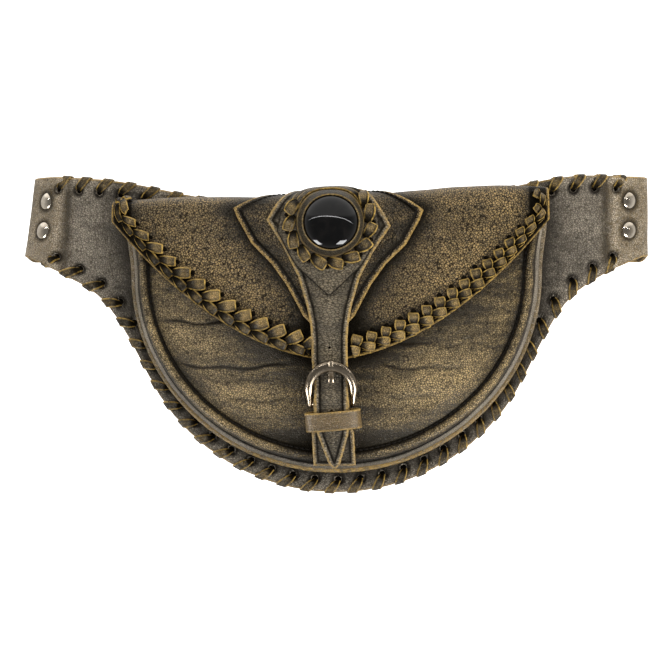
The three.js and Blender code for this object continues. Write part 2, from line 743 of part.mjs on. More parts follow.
// Buckle frame: a horseshoe band, narrow at its ends, joined to the bar
function buckleFrame() {
  const { end, side, top, depth, steps } = BUCKLE_BAND;
  const arch = count(steps + 1).map((i) => {
    const turn = PI * (1 - i / steps);
    const place = new THREE.Vector2(BUCKLE.half * cos(turn), BUCKLE.straight + BUCKLE.rise * sin(turn));
    return { place, wide: lerp(side, top, sin(turn) ** 2) };
  });
  const leg = [-BUCKLE.bar, BUCKLE.straight / 2].map((height, i) => ({
    place: new THREE.Vector2(-lerp(BUCKLE.endHalf, BUCKLE.half, i / 2), height),
    wide: lerp(end, side, i / 2),
  }));
  const mirrored = leg.map(({ place, wide }) => ({ place: new THREE.Vector2(-place.x, place.y), wide }));
  const stations = [...leg, ...arch, ...mirrored.reverse()];
  const normals = pathNormals(stations.map(({ place }) => place));
  const frontHalf = [[1, 0.45], [0.6, 1], [-0.6, 1], [-1, 0.45]];
  const octagon = [...frontHalf, ...frontHalf.map(([across, deep]) => [-across, -deep])];
  const sections = stations.map(({ place, wide }, i) => octagon.map(([across, deep]) => {
    const spot = place.clone().addScaledVector(normals[i], (across * wide) / 2);
    return point(spot.x, (deep * depth) / 2, spot.y);
  }));
  const across = new THREE.Vector3(1, 0, 0);
  const bar = punch(new THREE.Vector3(), across, BUCKLE.bar, 2 * BUCKLE.endHalf, 10);
  return toGeometry(toSolid(loft(sections)).add(toSolid(bar)));
}

// Prong: hooked round the bar, up through the strap and over the top of the frame
function buckleProng() {
  const hook = count(PRONG.steps).map((i) => {
    const turn = lerp(PRONG.start - 2 * PI, 0, i / (PRONG.steps - 1));
    return new THREE.Vector2(-barPlace.y + PRONG.bend * cos(turn), barPlace.z + PRONG.bend * sin(turn));
  });
  const path = [...hook, ...PRONG_PATH.map((row) => new THREE.Vector2(row.forward, row.height))];
  const normals = pathNormals(path);
  const corners = [[1, 1], [-1, 1], [-1, -1], [1, -1]];
  const sections = path.map((place, i) => corners.map(([side, face]) => {
    const spot = place.clone().addScaledVector(normals[i], (face * PRONG.thick) / 2);
    return point((side * PRONG.wide) / 2, spot.x, spot.y);
  }));
  return loft(sections);
}

// Keeper: a leather loop with cut corners
function keeper() {
  const face = (grow) => {
    const half = KEEPER.half + grow;
    const front = KEEPER.front + grow;
    const rear = KEEPER.rear - grow;
    const bevel = KEEPER.bevel + grow * 0.6;
    const loop = [
      [half - bevel, front],
      [half, front - bevel],
      [half, rear + bevel],
      [half - bevel, rear],
      [bevel - half, rear],
      [-half, rear + bevel],
      [-half, front - bevel],
      [bevel - half, front],
    ];
    return loop.map(([x, forward]) =>
      [-1, 1].map((level) => point(x, forward, (level * KEEPER.tall) / 2)));
  };
  return sheet(face(KEEPER.wall), face(0), { ring: true });
}

// Assembly

const lowerTrack = edgeReader(lowerEdge, -LACE.reach, LACE.reach);
const upperTrack = edgeReader(upperEdge, LACE.reach, -LACE.reach);
const rivets = rivetPlaces();
const rivetHoles = rivets.map(({ along, height }) =>
  punch(panelPoint(along, 0, height), panelFrame(along).normal, RIVET.hole, LACE_HOLE.depth, 8));

const panelHoles = [...laceHoles(lowerTrack), ...laceHoles(upperTrack), ...rivetHoles];

addPiece('back_panel', backPanel(panelHoles), 'leather');
addPiece('edge_lace_lower', edgeLace(lowerTrack), 'lace');
addPiece('edge_lace_upper', edgeLace(upperTrack), 'lace');
for (const { name, along, height } of rivets) {
  const piece = addPiece(name, rivet(), 'nickel');
  piece.position.copy(panelPoint(along, 0, height));
  piece.quaternion.setFromUnitVectors(new THREE.Vector3(0, 1, 0), panelFrame(along).normal);
}

addPiece('gusset', gusset(), 'leather');
addPiece('pouch_front', pouchFront(), 'leather');
addPiece('flap', flap(), 'leather');
addPiece('flap_braid_left', flapBraid(-1), 'lace');
addPiece('flap_braid_right', flapBraid(1), 'lace');
addPiece('kite', layerSheet(KITE, LAYER.kite), 'leather');
addPiece('strap', strap(), 'leather');
addPiece('stone_patch', layerSheet(PATCH, LAYER.patch), 'leather');
addPiece('stone_collar', stoneCollar(), 'leather');
addPiece('stone_braid', stoneBraid(), 'lace');

const cabochon = addPiece('stone', stone(), 'stone');
cabochon.position.copy(seat);
cabochon.rotation.x = PI - STONE.tilt;

addPiece('buckle_strap', buckleStrap(), 'leather');
addPiece('buckle_prong', buckleProng(), 'nickel');

const frame = addPiece('buckle_frame', buckleFrame(), 'nickel');
frame.position.copy(barPlace);
frame.rotation.x = BUCKLE.tilt;

const loop = addPiece('keeper', keeper(), 'leather');
loop.position.copy(rampPoint(0, KEEPER.up, 0));
loop.rotation.set(RAMP.tilt, KEEPER_ROLL, 0);

export default bag;
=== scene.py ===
# %% [markdown]
# # A laced leather hip bag
# The real bag is cut from pebbled hide, dyed dark and rubbed back to gold on its high places.
# A half-moon pouch sits on a hip panel whose wings curve back to riveted belt loops, and a
# plaited flap is held by a strap with a black stone. Every sheet here follows the same
# formulas as the solid pieces, so the finished leather lies where they lie.

import itertools
import math

import bpy
import numpy as np
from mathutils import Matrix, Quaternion, Vector


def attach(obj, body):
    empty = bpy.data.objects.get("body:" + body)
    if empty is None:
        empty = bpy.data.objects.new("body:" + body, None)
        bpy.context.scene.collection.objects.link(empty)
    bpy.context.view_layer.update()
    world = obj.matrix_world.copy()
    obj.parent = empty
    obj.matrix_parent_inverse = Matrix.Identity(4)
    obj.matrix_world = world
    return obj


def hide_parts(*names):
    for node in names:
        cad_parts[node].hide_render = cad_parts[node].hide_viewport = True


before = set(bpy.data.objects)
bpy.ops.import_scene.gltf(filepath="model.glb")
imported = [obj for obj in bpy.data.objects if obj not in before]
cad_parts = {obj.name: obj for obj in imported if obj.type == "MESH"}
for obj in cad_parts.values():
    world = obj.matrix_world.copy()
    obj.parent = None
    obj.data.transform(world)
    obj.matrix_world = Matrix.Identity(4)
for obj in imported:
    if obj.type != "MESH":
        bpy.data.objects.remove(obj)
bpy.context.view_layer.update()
MM = 0.001
print("solid pieces to dress:", len(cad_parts))

# %% [markdown]
# ## Small helpers
# Lengths are written in millimetres and become metres when a mesh is made. `place` turns
# across, forward and height into a point, because the bag faces the -Y side. The soft noise is
# a lattice of fixed values with smooth blending, so each run gives the same wrinkles.

# %% Helpers for places and noise


def smooth(value, low, high):
    share = np.clip((value - low) / (high - low), 0, 1)
    return share * share * (3 - 2 * share)


def bell(value, middle, width, power=2):
    """One at the middle, falling softly to nothing on both sides of it."""
    return np.exp(-(((value - middle) / width) ** power))


def trail_off(distance, reach):
    """One up to a line, then falling away with the distance past it."""
    return np.exp(-np.maximum(distance, 0) / reach)


def place(x, forward, height):
    x, forward, height = np.broadcast_arrays(x, forward, height)
    return np.stack([x, -forward, height], axis=-1).astype(float)


def unit(vectors):
    return vectors / np.maximum(np.linalg.norm(vectors, axis=-1, keepdims=True), 1e-9)


NOISE_KEYS = np.array([374761393, 668265263, 2147483647])  # scramble a lattice place
NOISE_STEP, NOISE_MIX = 974711, 1274126177


def soft_noise(places, size, seed):
    """Smooth values from -1 to 1 that change over about `size` millimetres."""
    spot = np.asarray(places, float) / size + 1000
    cell = np.floor(spot).astype(np.int64)
    share = spot - cell
    share = share * share * (3 - 2 * share)
    total = np.zeros(spot.shape[:-1])
    for corner in itertools.product((0, 1), repeat=3):
        key = (cell + np.array(corner)) @ NOISE_KEYS + seed * NOISE_STEP
        key = (key ^ (key >> 13)) * NOISE_MIX
        value = ((key ^ (key >> 16)) & 0xFFFF) / 32767.5 - 1
        total += value * np.prod(np.where(corner, share, 1 - share), axis=-1)
    return total


def catmull(points, count):
    """A smooth curve through a few points, read at even lengths."""
    points = np.asarray(points, float)
    padded = np.vstack([2 * points[0] - points[1], points, 2 * points[-1] - points[-2]])
    t = np.linspace(0, 1, 12, endpoint=False)[:, None]
    spans = []
    for a, b, c, d in zip(padded, padded[1:], padded[2:], padded[3:]):
        bend = 2 * a - 5 * b + 4 * c - d
        spans.append(0.5 * (2 * b + (c - a) * t + bend * t**2 + (3 * b - a - 3 * c + d) * t**3))
    return even(np.vstack([*spans, points[-1:]]), count)


def run_along(line):
    """Length along a line at each of its points."""
    return np.concatenate([[0], np.cumsum(np.linalg.norm(np.diff(line, axis=0), axis=1))])


def even(line, count):
    """The same line with its points at even distances."""
    length = run_along(line)
    at = np.linspace(0, length[-1], count)
    return np.stack([np.interp(at, length, column) for column in line.T], axis=-1)


def relax(line, rounds):
    """Rounds the corners of a line and keeps its ends."""
    line = line.copy()
    for _ in range(rounds):
        line[1:-1] = (line[:-2] + 2 * line[1:-1] + line[2:]) / 4
    return line


def even_run(line):
    """Length at each point of a line whose points lie at even distances."""
    return np.linspace(0, run_along(line)[-1], len(line))


def left_normals(line):
    run = np.gradient(line, axis=0)
    return unit(np.stack([-run[:, 1], run[:, 0]], axis=-1))


def line_distance(spots, line):
    """Distance of flat spots from the nearest stretch of a line."""
    best = np.full(spots.shape[:-1], 1e9)
    for a, b in zip(line, line[1:]):
        run = b - a
        share = np.clip(((spots - a) @ run) / max(run @ run, 1e-9), 0, 1)
        best = np.minimum(best, np.linalg.norm(spots - (a + share[..., None] * run), axis=-1))
    return best


def edge_spread(count):
    """Shares from -1 to 1 that crowd towards both ends, where leather edges are rounded."""
    t = np.linspace(-1, 1, count)
    return t * (1.5 - 0.5 * t * t)


def round_off(distance, radius):
    """How full a sheet is near its cut edge: nothing at the edge, all of it past the radius."""
    near = np.clip(distance / radius, 0, 1)
    return np.sqrt(1 - (1 - near) ** 2)


print("helpers ready")

# %% [markdown]
# ## From grids to leather
# A leather sheet is two grids of points, its grain side and its flesh side, which meet at the
# cut edge. Joining them by merging the shared rim gives a closed shell with a rounded edge and
# no loose faces. Each point also carries four shades that the finishes read: `dark` for dark
# dye and for painted shade in creases, holes, gaps and under other parts; a wear and sheen
# shade for worn gold and for painted highlights on crowns and ridges; `raw` for cut edges; and
# `tint` for piece to piece change.

# %% Mesh makers
SHADES = ("dark", "rub", "raw", "tint")
SAME_POINT = 1e-4  # points this close are merged
RIM_GAP = 0.02  # a sheet's two sides meet where they are this close


def grid_faces(columns, rows, ring=False):
    i = np.arange(columns if ring else columns - 1)[:, None]
    j = np.arange(rows - 1)[None, :]
    a = i * rows + j
    b = ((i + 1) % columns) * rows + j
    return np.stack([a, b, b + 1, a + 1], axis=-1).reshape(-1, 4)


def set_shades(mesh, shades):
    for name in SHADES:
        values = np.broadcast_to(shades.get(name, 0.0), len(mesh.vertices)).astype(np.float32)
        layer = mesh.attributes.get(name) or mesh.attributes.new(name, "FLOAT", "POINT")
        layer.data.foreach_set("value", np.ascontiguousarray(np.clip(values, 0, 1)))


def put_in_scene(name, data):
    thing = bpy.data.objects.new(name, data)
    bpy.context.scene.collection.objects.link(thing)
    return thing


def make_piece(name, points, faces, shades, material):
    """A closed mesh from millimetre points: merged at its seams and facing outwards."""
    points = np.asarray(points, float).reshape(-1, 3)
    keys = np.round(points / SAME_POINT).astype(np.int64)
    _, first, back = np.unique(keys, axis=0, return_index=True, return_inverse=True)
    loops = [list(dict.fromkeys(row)) for row in back.reshape(-1)[np.asarray(faces)].tolist()]
    loops = [loop for loop in loops if len(loop) > 2]
    kept = points[first]
    volume = sum(float(kept[r[0]] @ np.cross(kept[r[k]], kept[r[k + 1]]))
                 for r in loops for k in range(1, len(r) - 1))
    if volume < 0:
        loops = [loop[::-1] for loop in loops]
    mesh = bpy.data.meshes.new(name)
    mesh.from_pydata((kept * MM).tolist(), [], loops)
    mesh.polygons.foreach_set("use_smooth", np.ones(len(mesh.polygons), bool))
    set_shades(mesh, {key: value[first] for key, value in shades.items()})
    mesh.update()
    mesh.materials.append(material)
    return put_in_scene(name, mesh)


def make_sheet(name, outer, inner, shades, material, ring=False):
    """A leather sheet from its grain side and flesh side, which share their rim."""
    columns, rows = outer.shape[:2]
    meets = np.linalg.norm(outer - inner, axis=-1, keepdims=True) < RIM_GAP
    inner = np.where(meets, outer, inner)
    faces = grid_faces(columns, rows, ring)
    both = np.vstack([faces, faces[:, ::-1] + columns * rows])
    doubled = {key: np.concatenate([np.broadcast_to(value, (columns, rows)).reshape(-1)] * 2)
               for key, value in shades.items()}
    points = np.vstack([outer.reshape(-1, 3), inner.reshape(-1, 3)])
    return make_piece(name, points, both, doubled, material)


def make_bar(name, points, shades, material):
    """A bar through closed rings of points, with a flat cap at each end."""
    stations, sides = points.shape[:2]
    ring = np.arange(stations * sides).reshape(stations, sides)
    beside = np.roll(ring, -1, axis=1)
    walls = np.stack([ring[:-1], beside[:-1], beside[1:], ring[1:]], axis=-1).reshape(-1, 4)
    walls = np.pad(walls, ((0, 0), (0, sides - 4)), mode="edge")
    faces = np.vstack([walls, ring[:1, ::-1], ring[-1:]])
    spread = {key: np.broadcast_to(value, (stations, sides)).reshape(-1)
              for key, value in shades.items()}
    return make_piece(name, points, faces, spread, material)


def merge(name, pieces):
    """Joins plain meshes into one piece and keeps their shades."""
    with bpy.context.temp_override(active_object=pieces[0], selected_editable_objects=pieces):
        bpy.ops.object.join()
    pieces[0].name = pieces[0].data.name = name
    return pieces[0]


# %% Finished pieces
LOOP_LEAN = {"from": 138.0, "to": 172.0, "inward": 0.9, "out": 0.14, "top": 24.0, "up": 2.2}


def mesh_points(piece):
    """The points of a finished mesh in millimetres."""
    points = np.empty(3 * len(piece.data.vertices))
    piece.data.vertices.foreach_get("co", points)
    return points.reshape(-1, 3) / MM


def lean_left_loop(points):
    """The left loop sits higher than the right one, and its foot is further out."""
    share = smooth(-points[:, 0], LOOP_LEAN["from"], LOOP_LEAN["to"])
    below_top = LOOP_LEAN["top"] - points[:, 2]
    points[:, 0] += share * (LOOP_LEAN["inward"] - LOOP_LEAN["out"] * below_top)
    points[:, 2] += share * LOOP_LEAN["up"]


def dress(piece, slot, *nodes, drift=0.0):
    """Puts a finished piece on the bag's one body, in place of its solid pieces."""
    points = mesh_points(piece)
    points[:, 0] += drift
    lean_left_loop(points)
    piece.data.vertices.foreach_set("co", (points * MM).reshape(-1))
    piece.data.update()
    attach(piece, "root")
    if nodes:
        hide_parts(*nodes)
    triangles = sum(len(face.vertices) - 2 for face in piece.data.polygons)
    print(f"{piece.name}: {triangles} triangles")


# %% [markdown]
# ## Leather, metal, stone and thread
# One recipe makes every leather. Rounded cells give the pebbled grain, which shows twice: as
# bump, and as gold dye left on the pebble tops with dark dye in the cracks between, deepened
# there as painted shade. Slow noise moves the worn places about, and stretched noise adds the
# streaks that a dyeing cloth leaves. The four shades of each mesh then darken dyed places and
# paint shade into creases, holes and gaps, brighten worn high places and paint highlights on
# crowns and ridges, and gild cut edges.

# %% Shader helpers


def feed(tree, socket, value):
    """Links an output to a socket, or sets the socket to a plain value."""
    if isinstance(value, bpy.types.NodeSocket):
        tree.links.new(value, socket)
    else:
        socket.default_value = value


def feed_all(tree, node, inputs):
    for key, value in inputs.items():
        feed(tree, node.inputs[key], value)


def add(tree, kind, inputs=None, **settings):
    node = tree.nodes.new(kind)
    for key, value in settings.items():
        setattr(node, key, value)
    feed_all(tree, node, inputs or {})
    return node


def blend_colour(tree, share, first, second):
    node = add(tree, "ShaderNodeMix", data_type="RGBA", clamp_factor=True)
    for key, value in (("Factor_Float", share), ("A_Color", first), ("B_Color", second)):
        feed(tree, next(s for s in node.inputs if s.identifier == key), value)
    return next(s for s in node.outputs if s.identifier == "Result_Color")


def work_out(tree, operation, first, second=0.0, clamp=False):
    node = add(tree, "ShaderNodeMath", {0: first, 1: second}, operation=operation, use_clamp=clamp)
    return node.outputs[0]


def plus(tree, total, value, share):
    return work_out(tree, "ADD", total, work_out(tree, "MULTIPLY", value, share))


def scaled(tree, vector, share):
    sockets = {0: vector, "Scale": share}
    return add(tree, "ShaderNodeVectorMath", sockets, operation="SCALE").outputs[0]


def vector_sum(tree, first, second):
    return add(tree, "ShaderNodeVectorMath", {0: first, 1: second}).outputs[0]


def ramp(tree, value, low, high, start=0.0, end=1.0):
    sockets = {"Value": value, "From Min": low, "From Max": high, "To Min": start, "To Max": end}
    return add(tree, "ShaderNodeMapRange", sockets, interpolation_type="SMOOTHSTEP").outputs[0]


def shade_value(tree, name):
    return add(tree, "ShaderNodeAttribute", attribute_name=name).outputs["Fac"]


def noise_value(tree, vector, scale, detail=3.0, rough=0.55, lean=0.0):
    sockets = {"Vector": vector, "Scale": scale, "Detail": detail, "Roughness": rough,
               "Distortion": lean}
    return add(tree, "ShaderNodeTexNoise", sockets).outputs["Fac"]


def start_material(name):
    material = bpy.data.materials.new(name)
    material.use_nodes = True
    tree = material.node_tree
    shader = tree.nodes["Principled BSDF"]
    spot = add(tree, "ShaderNodeTexCoord").outputs["Object"]
    return material, tree, shader, spot


# %% Leather finish
PEBBLE = {"warp": 420.0, "push": 0.0011, "uneven": 0.95, "floor": 0.02, "crack": 0.15, "top": 0.34}
RELIEF = {"tall": 0.0004, "fine": 0.3, "brushed": 0.5}
# The wear and sheen shade adds gold, as wear and as painted highlight; dark takes it away, as dye
# and as painted shade.
GOLD_PULL = {"rub": 0.75, "tint": 0.45, "dark": -0.85}  # how far each shade moves the gold dye
RAW_EDGE = (170, 138, 74)


def dye(red, green, blue):
    """An 8-bit screen colour as the linear colour that a shader takes."""
    return tuple(((c / 255 + 0.055) / 1.055) ** 2.4 for c in (red, green, blue)) + (1.0,)


def pebbles(tree, spot, pebble, wide, turn):
    """Rounded cells of the grain: distance from the cracks, and each pebble's own value."""
    warp = add(tree, "ShaderNodeTexNoise", {"Vector": spot, "Scale": PEBBLE["warp"], "Detail": 1.0})
    bent = vector_sum(tree, spot, scaled(tree, warp.outputs["Color"], PEBBLE["push"]))
    stretch = {"Vector": bent, "Rotation": (0.0, turn, 0.0), "Scale": (wide, 1.0, 1.0)}
    bent = add(tree, "ShaderNodeMapping", stretch, vector_type="TEXTURE").outputs[0]
    cells = {"Vector": bent, "Scale": 1000 / pebble, "Randomness": PEBBLE["uneven"]}
    gap = add(tree, "ShaderNodeTexVoronoi", cells, feature="DISTANCE_TO_EDGE").outputs["Distance"]
    each = add(tree, "ShaderNodeTexVoronoi", cells, feature="F1").outputs["Color"]
    return gap, add(tree, "ShaderNodeSeparateColor", {0: each}).outputs[0]


def leather(name, crack, body, gold, raw=RAW_EDGE, pebble=1.2, wear=0.5, streak=0.5, gloss=0.36,
            grain=1.0, wide=1.0, turn=0.0):
    """Pebbled hide: crack, body, gold and raw are its four colours; crack also serves as painted
    shade.
    """
    material, tree, shader, spot = start_material(name)
    crack, body, gold, raw = (dye(*colour) for colour in (crack, body, gold, raw))
    shade = {key: shade_value(tree, key) for key in SHADES}
    gap, own = pebbles(tree, spot, pebble, wide, turn)
    valley = ramp(tree, gap, PEBBLE["crack"], PEBBLE["floor"])
    dome = ramp(tree, gap, PEBBLE["floor"], PEBBLE["top"])
    fine = noise_value(tree, spot, 2300.0, 2.0)
    slow = noise_value(tree, spot, 26.0, 3.0)
    patch = noise_value(tree, spot, 95.0, 4.0, 0.5)
    fray = noise_value(tree, spot, 520.0, 3.0, 0.6)
    long = add(tree, "ShaderNodeMapping", {"Vector": spot, "Scale": (0.16, 1.0, 1.0)}).outputs[0]
    brushed = noise_value(tree, long, 210.0, 4.0, 0.62, 0.35)

    mottle = ramp(tree, patch, 0.2, 0.8, 0.33, 0.67)
    spread = work_out(tree, "ADD", ramp(tree, slow, 0.3, 0.7), mottle)
    spread = plus(tree, spread, ramp(tree, brushed, 0.34, 0.7), 2 * streak)
    spread = work_out(tree, "MULTIPLY", spread, 1 / (2 + 2 * streak))
    spread = plus(tree, spread, own, 0.2)
    for key, share in GOLD_PULL.items():
        spread = plus(tree, spread, shade[key], share)
    gilt = work_out(tree, "ADD", spread, wear - 0.5, clamp=True)
    tops = work_out(tree, "MULTIPLY", gilt, ramp(tree, dome, 0.0, 1.0, 1.0 - 0.9 * grain, 1.0))
    colour = blend_colour(tree, tops, body, gold)
    # Crack colour in the cracks and wherever dark is marked: dark dye, deepened as painted shade.
    colour = blend_colour(tree, work_out(tree, "MULTIPLY", valley, grain), colour, crack)
    colour = blend_colour(tree, work_out(tree, "MULTIPLY", shade["dark"], 0.88), colour, crack)
    frayed = work_out(tree, "MULTIPLY", shade["raw"], ramp(tree, fray, 0.36, 0.6, 0.3, 1.0))

    shine = ramp(tree, fine, 0.2, 0.8, gloss - 0.05, gloss + 0.12)
    relief = plus(tree, plus(tree, dome, fine, RELIEF["fine"]), brushed, RELIEF["brushed"])
    bump = {"Strength": 0.3 + 0.7 * grain, "Distance": RELIEF["tall"], "Height": relief}
    # Painted shade in the sheen: specular and coat fade in the cracks and wherever dark is marked.
    cracks = work_out(tree, "MULTIPLY", valley, 0.8 * grain)
    hollow = work_out(tree, "MAXIMUM", shade["dark"], cracks)
    feed_all(tree, shader, {
        "Base Color": blend_colour(tree, frayed, colour, raw),
        "Roughness": plus(tree, shine, shade["raw"], 0.15),
        "Normal": add(tree, "ShaderNodeBump", bump).outputs[0],
        "Specular IOR Level": ramp(tree, hollow, 0.1, 0.95, 0.45, 0.03),
        "Specular Tint": (1.0, 0.92, 0.78, 1.0),
        "Coat Weight": ramp(tree, shade["dark"], 0.0, 0.9, 0.1, 0.0),
        "Coat Roughness": 0.3,
    })
    return material


hide_panel = leather("panel_hide", (16, 14, 11), (68, 62, 54), (190, 177, 156),
                     pebble=1.15, wear=0.4, streak=0.3, gloss=0.32, grain=0.62, wide=1.2)
hide_pouch = leather("pouch_hide", (12, 10, 6), (50, 42, 29), (190, 163, 112),
                     pebble=1.08, wear=0.32, streak=1.3, gloss=0.34, grain=0.78, wide=1.2)
hide_flap = leather("flap_hide", (10, 8, 4), (43, 36, 24), (178, 148, 95),
                    pebble=1.15, wear=0.35, streak=0.4, grain=0.92, wide=1.3, turn=-0.7)
hide_strap = leather("strap_hide", (14, 12, 9), (72, 65, 53), (146, 131, 104),
                     pebble=1.1, wear=0.58, streak=1.0, wide=2.0, grain=0.7)
hide_thong = leather("thong_hide", (10, 8, 4), (44, 36, 23), (174, 144, 86), (192, 158, 84),
                     pebble=1.0, wear=0.28, streak=1.2, gloss=0.26, grain=0.5)
hide_keeper = leather("keeper_hide", (30, 24, 15), (80, 64, 39), (126, 102, 62),
                      pebble=1.2, wear=0.44, streak=0.4, grain=0.5)
print("leathers made:", len(bpy.data.materials))

# %% Metal, stone and thread finishes


def nickel_finish(name, bright, dull, rough):
    """Worn nickel, clouded by handling."""
    material, tree, shader, spot = start_material(name)
    cloud = noise_value(tree, spot, 160.0, 4.0, 0.6)
    feed_all(tree, shader, {
        "Base Color": blend_colour(tree, ramp(tree, cloud, 0.35, 0.75), dye(*bright), dye(*dull)),
        "Roughness": ramp(tree, cloud, 0.3, 0.8, rough, rough + 0.1),
        "Metallic": 1.0,
    })
    return material


def stone_finish():
    """Black polished stone, a little cloudy inside."""
    material, tree, shader, spot = start_material("black_stone")
    cloud = noise_value(tree, spot, 120.0, 5.0, 0.6, 1.0)
    cloudy = ramp(tree, cloud, 0.4, 0.8)
    feed_all(tree, shader, {
        "Base Color": blend_colour(tree, cloudy, dye(5, 5, 6), dye(19, 17, 16)),
        "Roughness": ramp(tree, cloud, 0.3, 0.8, 0.025, 0.06),
        "Specular IOR Level": 0.4,
    })
    return material


def thread_finish():
    """Waxed dark thread."""
    material, tree, shader, spot = start_material("waxed_thread")
    twist = noise_value(tree, spot, 1500.0, 2.0)
    bump = {"Strength": 0.5, "Distance": 0.0001, "Height": twist}
    lit = ramp(tree, twist, 0.35, 0.7)
    feed_all(tree, shader, {
        "Base Color": blend_colour(tree, lit, dye(12, 10, 8), dye(36, 30, 20)),
        "Normal": add(tree, "ShaderNodeBump", bump).outputs[0],
        "Roughness": 0.7,
        "Specular IOR Level": 0.15,
    })
    return material


# The buckle's nickel is darker than bare metal: worn metal, and a painted dark reflection of the
# room in front of it.
nickel = nickel_finish("polished_nickel", (158, 145, 127), (104, 93, 78), 0.2)
cap_nickel = nickel_finish("brushed_nickel", (226, 216, 200), (190, 178, 160), 0.12)
stone_black = stone_finish()
thread = thread_finish()
print("finishes made:", len(bpy.data.materials))

# %% [markdown]
# ## Node trees for what repeats
# Three geometry node trees do the repeated work. One punches round holes: it sets cylinders on
# points and cuts them out of a sheet. One seats the same small part on points with a direction,
# for rivets. The third lays a shape again and again along a path and bends it to the path, for
# thongs, plaits and stitches: a flat row of copies is made along X, then each point is moved to
# the spot on the path at that length, with Y along the stored `side` and Z along the stored
# `face` direction.

# %% Tree helpers


def new_tree(name, sockets):
    tree = bpy.data.node_groups.new(name, "GeometryNodeTree")
    tree.interface.new_socket("Geometry", in_out="INPUT", socket_type="NodeSocketGeometry")
    for label, kind in sockets:
        tree.interface.new_socket(label, in_out="INPUT", socket_type=f"NodeSocket{kind}")
    tree.interface.new_socket("Geometry", in_out="OUTPUT", socket_type="NodeSocketGeometry")
    entry = tree.nodes.new("NodeGroupInput").outputs
    return tree, entry


def end_tree(tree, geometry, material):
    """Every tree ends the same way: real geometry, smooth faces and a finish."""
    real = add(tree, "GeometryNodeRealizeInstances", {"Geometry": geometry}).outputs[0]
    soft = add(tree, "GeometryNodeSetShadeSmooth", {"Geometry": real}).outputs[0]
    done = add(tree, "GeometryNodeSetMaterial", {"Geometry": soft, "Material": material}).outputs[0]
    add(tree, "NodeGroupOutput", {"Geometry": done})


def stored(tree, name, kind="FLOAT_VECTOR"):
    node = add(tree, "GeometryNodeInputNamedAttribute", {"Name": name}, data_type=kind)
    return node.outputs["Attribute"]


def run_tree(tree, piece, name, **values):
    """Runs a tree on a piece, keeps the result as a plain mesh and drops the piece."""
    modifier = piece.modifiers.new("tree", "NODES")
    modifier.node_group = tree
    sockets = {item.name: item.identifier for item in tree.interface.items_tree
               if item.item_type == "SOCKET" and item.in_out == "INPUT"}
    for key, value in values.items():
        modifier[sockets[key]] = value
    graph = bpy.context.evaluated_depsgraph_get()
    mesh = bpy.data.meshes.new_from_object(piece.evaluated_get(graph), depsgraph=graph)
    piece.modifiers.remove(modifier)
    bpy.data.objects.remove(piece)
    mesh.name = name
    return put_in_scene(name, mesh)


def path_mesh(name, points, **vectors):
    """A line of points that carries directions, for the trees to read."""
    mesh = bpy.data.meshes.new(name)
    mesh.from_pydata((points * MM).tolist(), [(i, i + 1) for i in range(len(points) - 1)], [])
    for key, values in vectors.items():
        kind = "FLOAT_VECTOR" if np.ndim(values) == 2 else "FLOAT"
        layer = mesh.attributes.new(key, kind, "POINT")
        field = "vector" if kind == "FLOAT_VECTOR" else "value"
        layer.data.foreach_set(field, np.asarray(values, np.float32).reshape(-1))
    return put_in_scene(name, mesh)


def aimed_copies(tree, points, shape):
    """Copies of a shape on points, turned to the points' stored face and side."""
    aim = {"Primary Axis": stored(tree, "face"), "Secondary Axis": stored(tree, "side")}
    turn = add(tree, "FunctionNodeAxesToRotation", aim).outputs[0]
    copies = {"Points": points, "Instance": shape, "Rotation": turn}
    return add(tree, "GeometryNodeInstanceOnPoints", copies).outputs[0]


# %% Trees that punch holes and seat parts
DRILL_SIDES = 14


def punch_tree():
    tree, entry = new_tree("punch holes", [
        ("Centres", "Object"), ("Radius", "Float"), ("Depth", "Float"), ("Material", "Material")])
    spots = add(tree, "GeometryNodeObjectInfo", {"Object": entry["Centres"]}).outputs["Geometry"]
    size = {"Vertices": DRILL_SIDES, "Radius": entry["Radius"], "Depth": entry["Depth"]}
    drill = add(tree, "GeometryNodeMeshCylinder", size).outputs["Mesh"]
    # The cutters carry full dark, so the wall of every cut hole is painted shade.
    drill = add(tree, "GeometryNodeStoreNamedAttribute",
                {"Geometry": drill, "Name": "dark", "Value": 1.0},
                data_type="FLOAT", domain="POINT").outputs["Geometry"]
    drills = aimed_copies(tree, spots, drill)
    cutters = add(tree, "GeometryNodeRealizeInstances", {"Geometry": drills}).outputs[0]
    cut = add(tree, "GeometryNodeMeshBoolean", {"Mesh 1": entry["Geometry"], "Mesh 2": cutters},
              solver="MANIFOLD", operation="DIFFERENCE").outputs["Mesh"]
    end_tree(tree, cut, entry["Material"])
    return tree


def seat_tree():
    tree, entry = new_tree("seat parts", [("Part", "Object"), ("Material", "Material")])
    part = add(tree, "GeometryNodeObjectInfo", {"Object": entry["Part"]}).outputs["Geometry"]
    end_tree(tree, aimed_copies(tree, entry["Geometry"], part), entry["Material"])
    return tree


# %% Tree that lays a shape along a path
REAR_RUN = 1.3  # how far behind the path a strand is taken to run at the rear
TINT_SEED = 7.0  # keeps the draw of the tint apart from the draw of the size


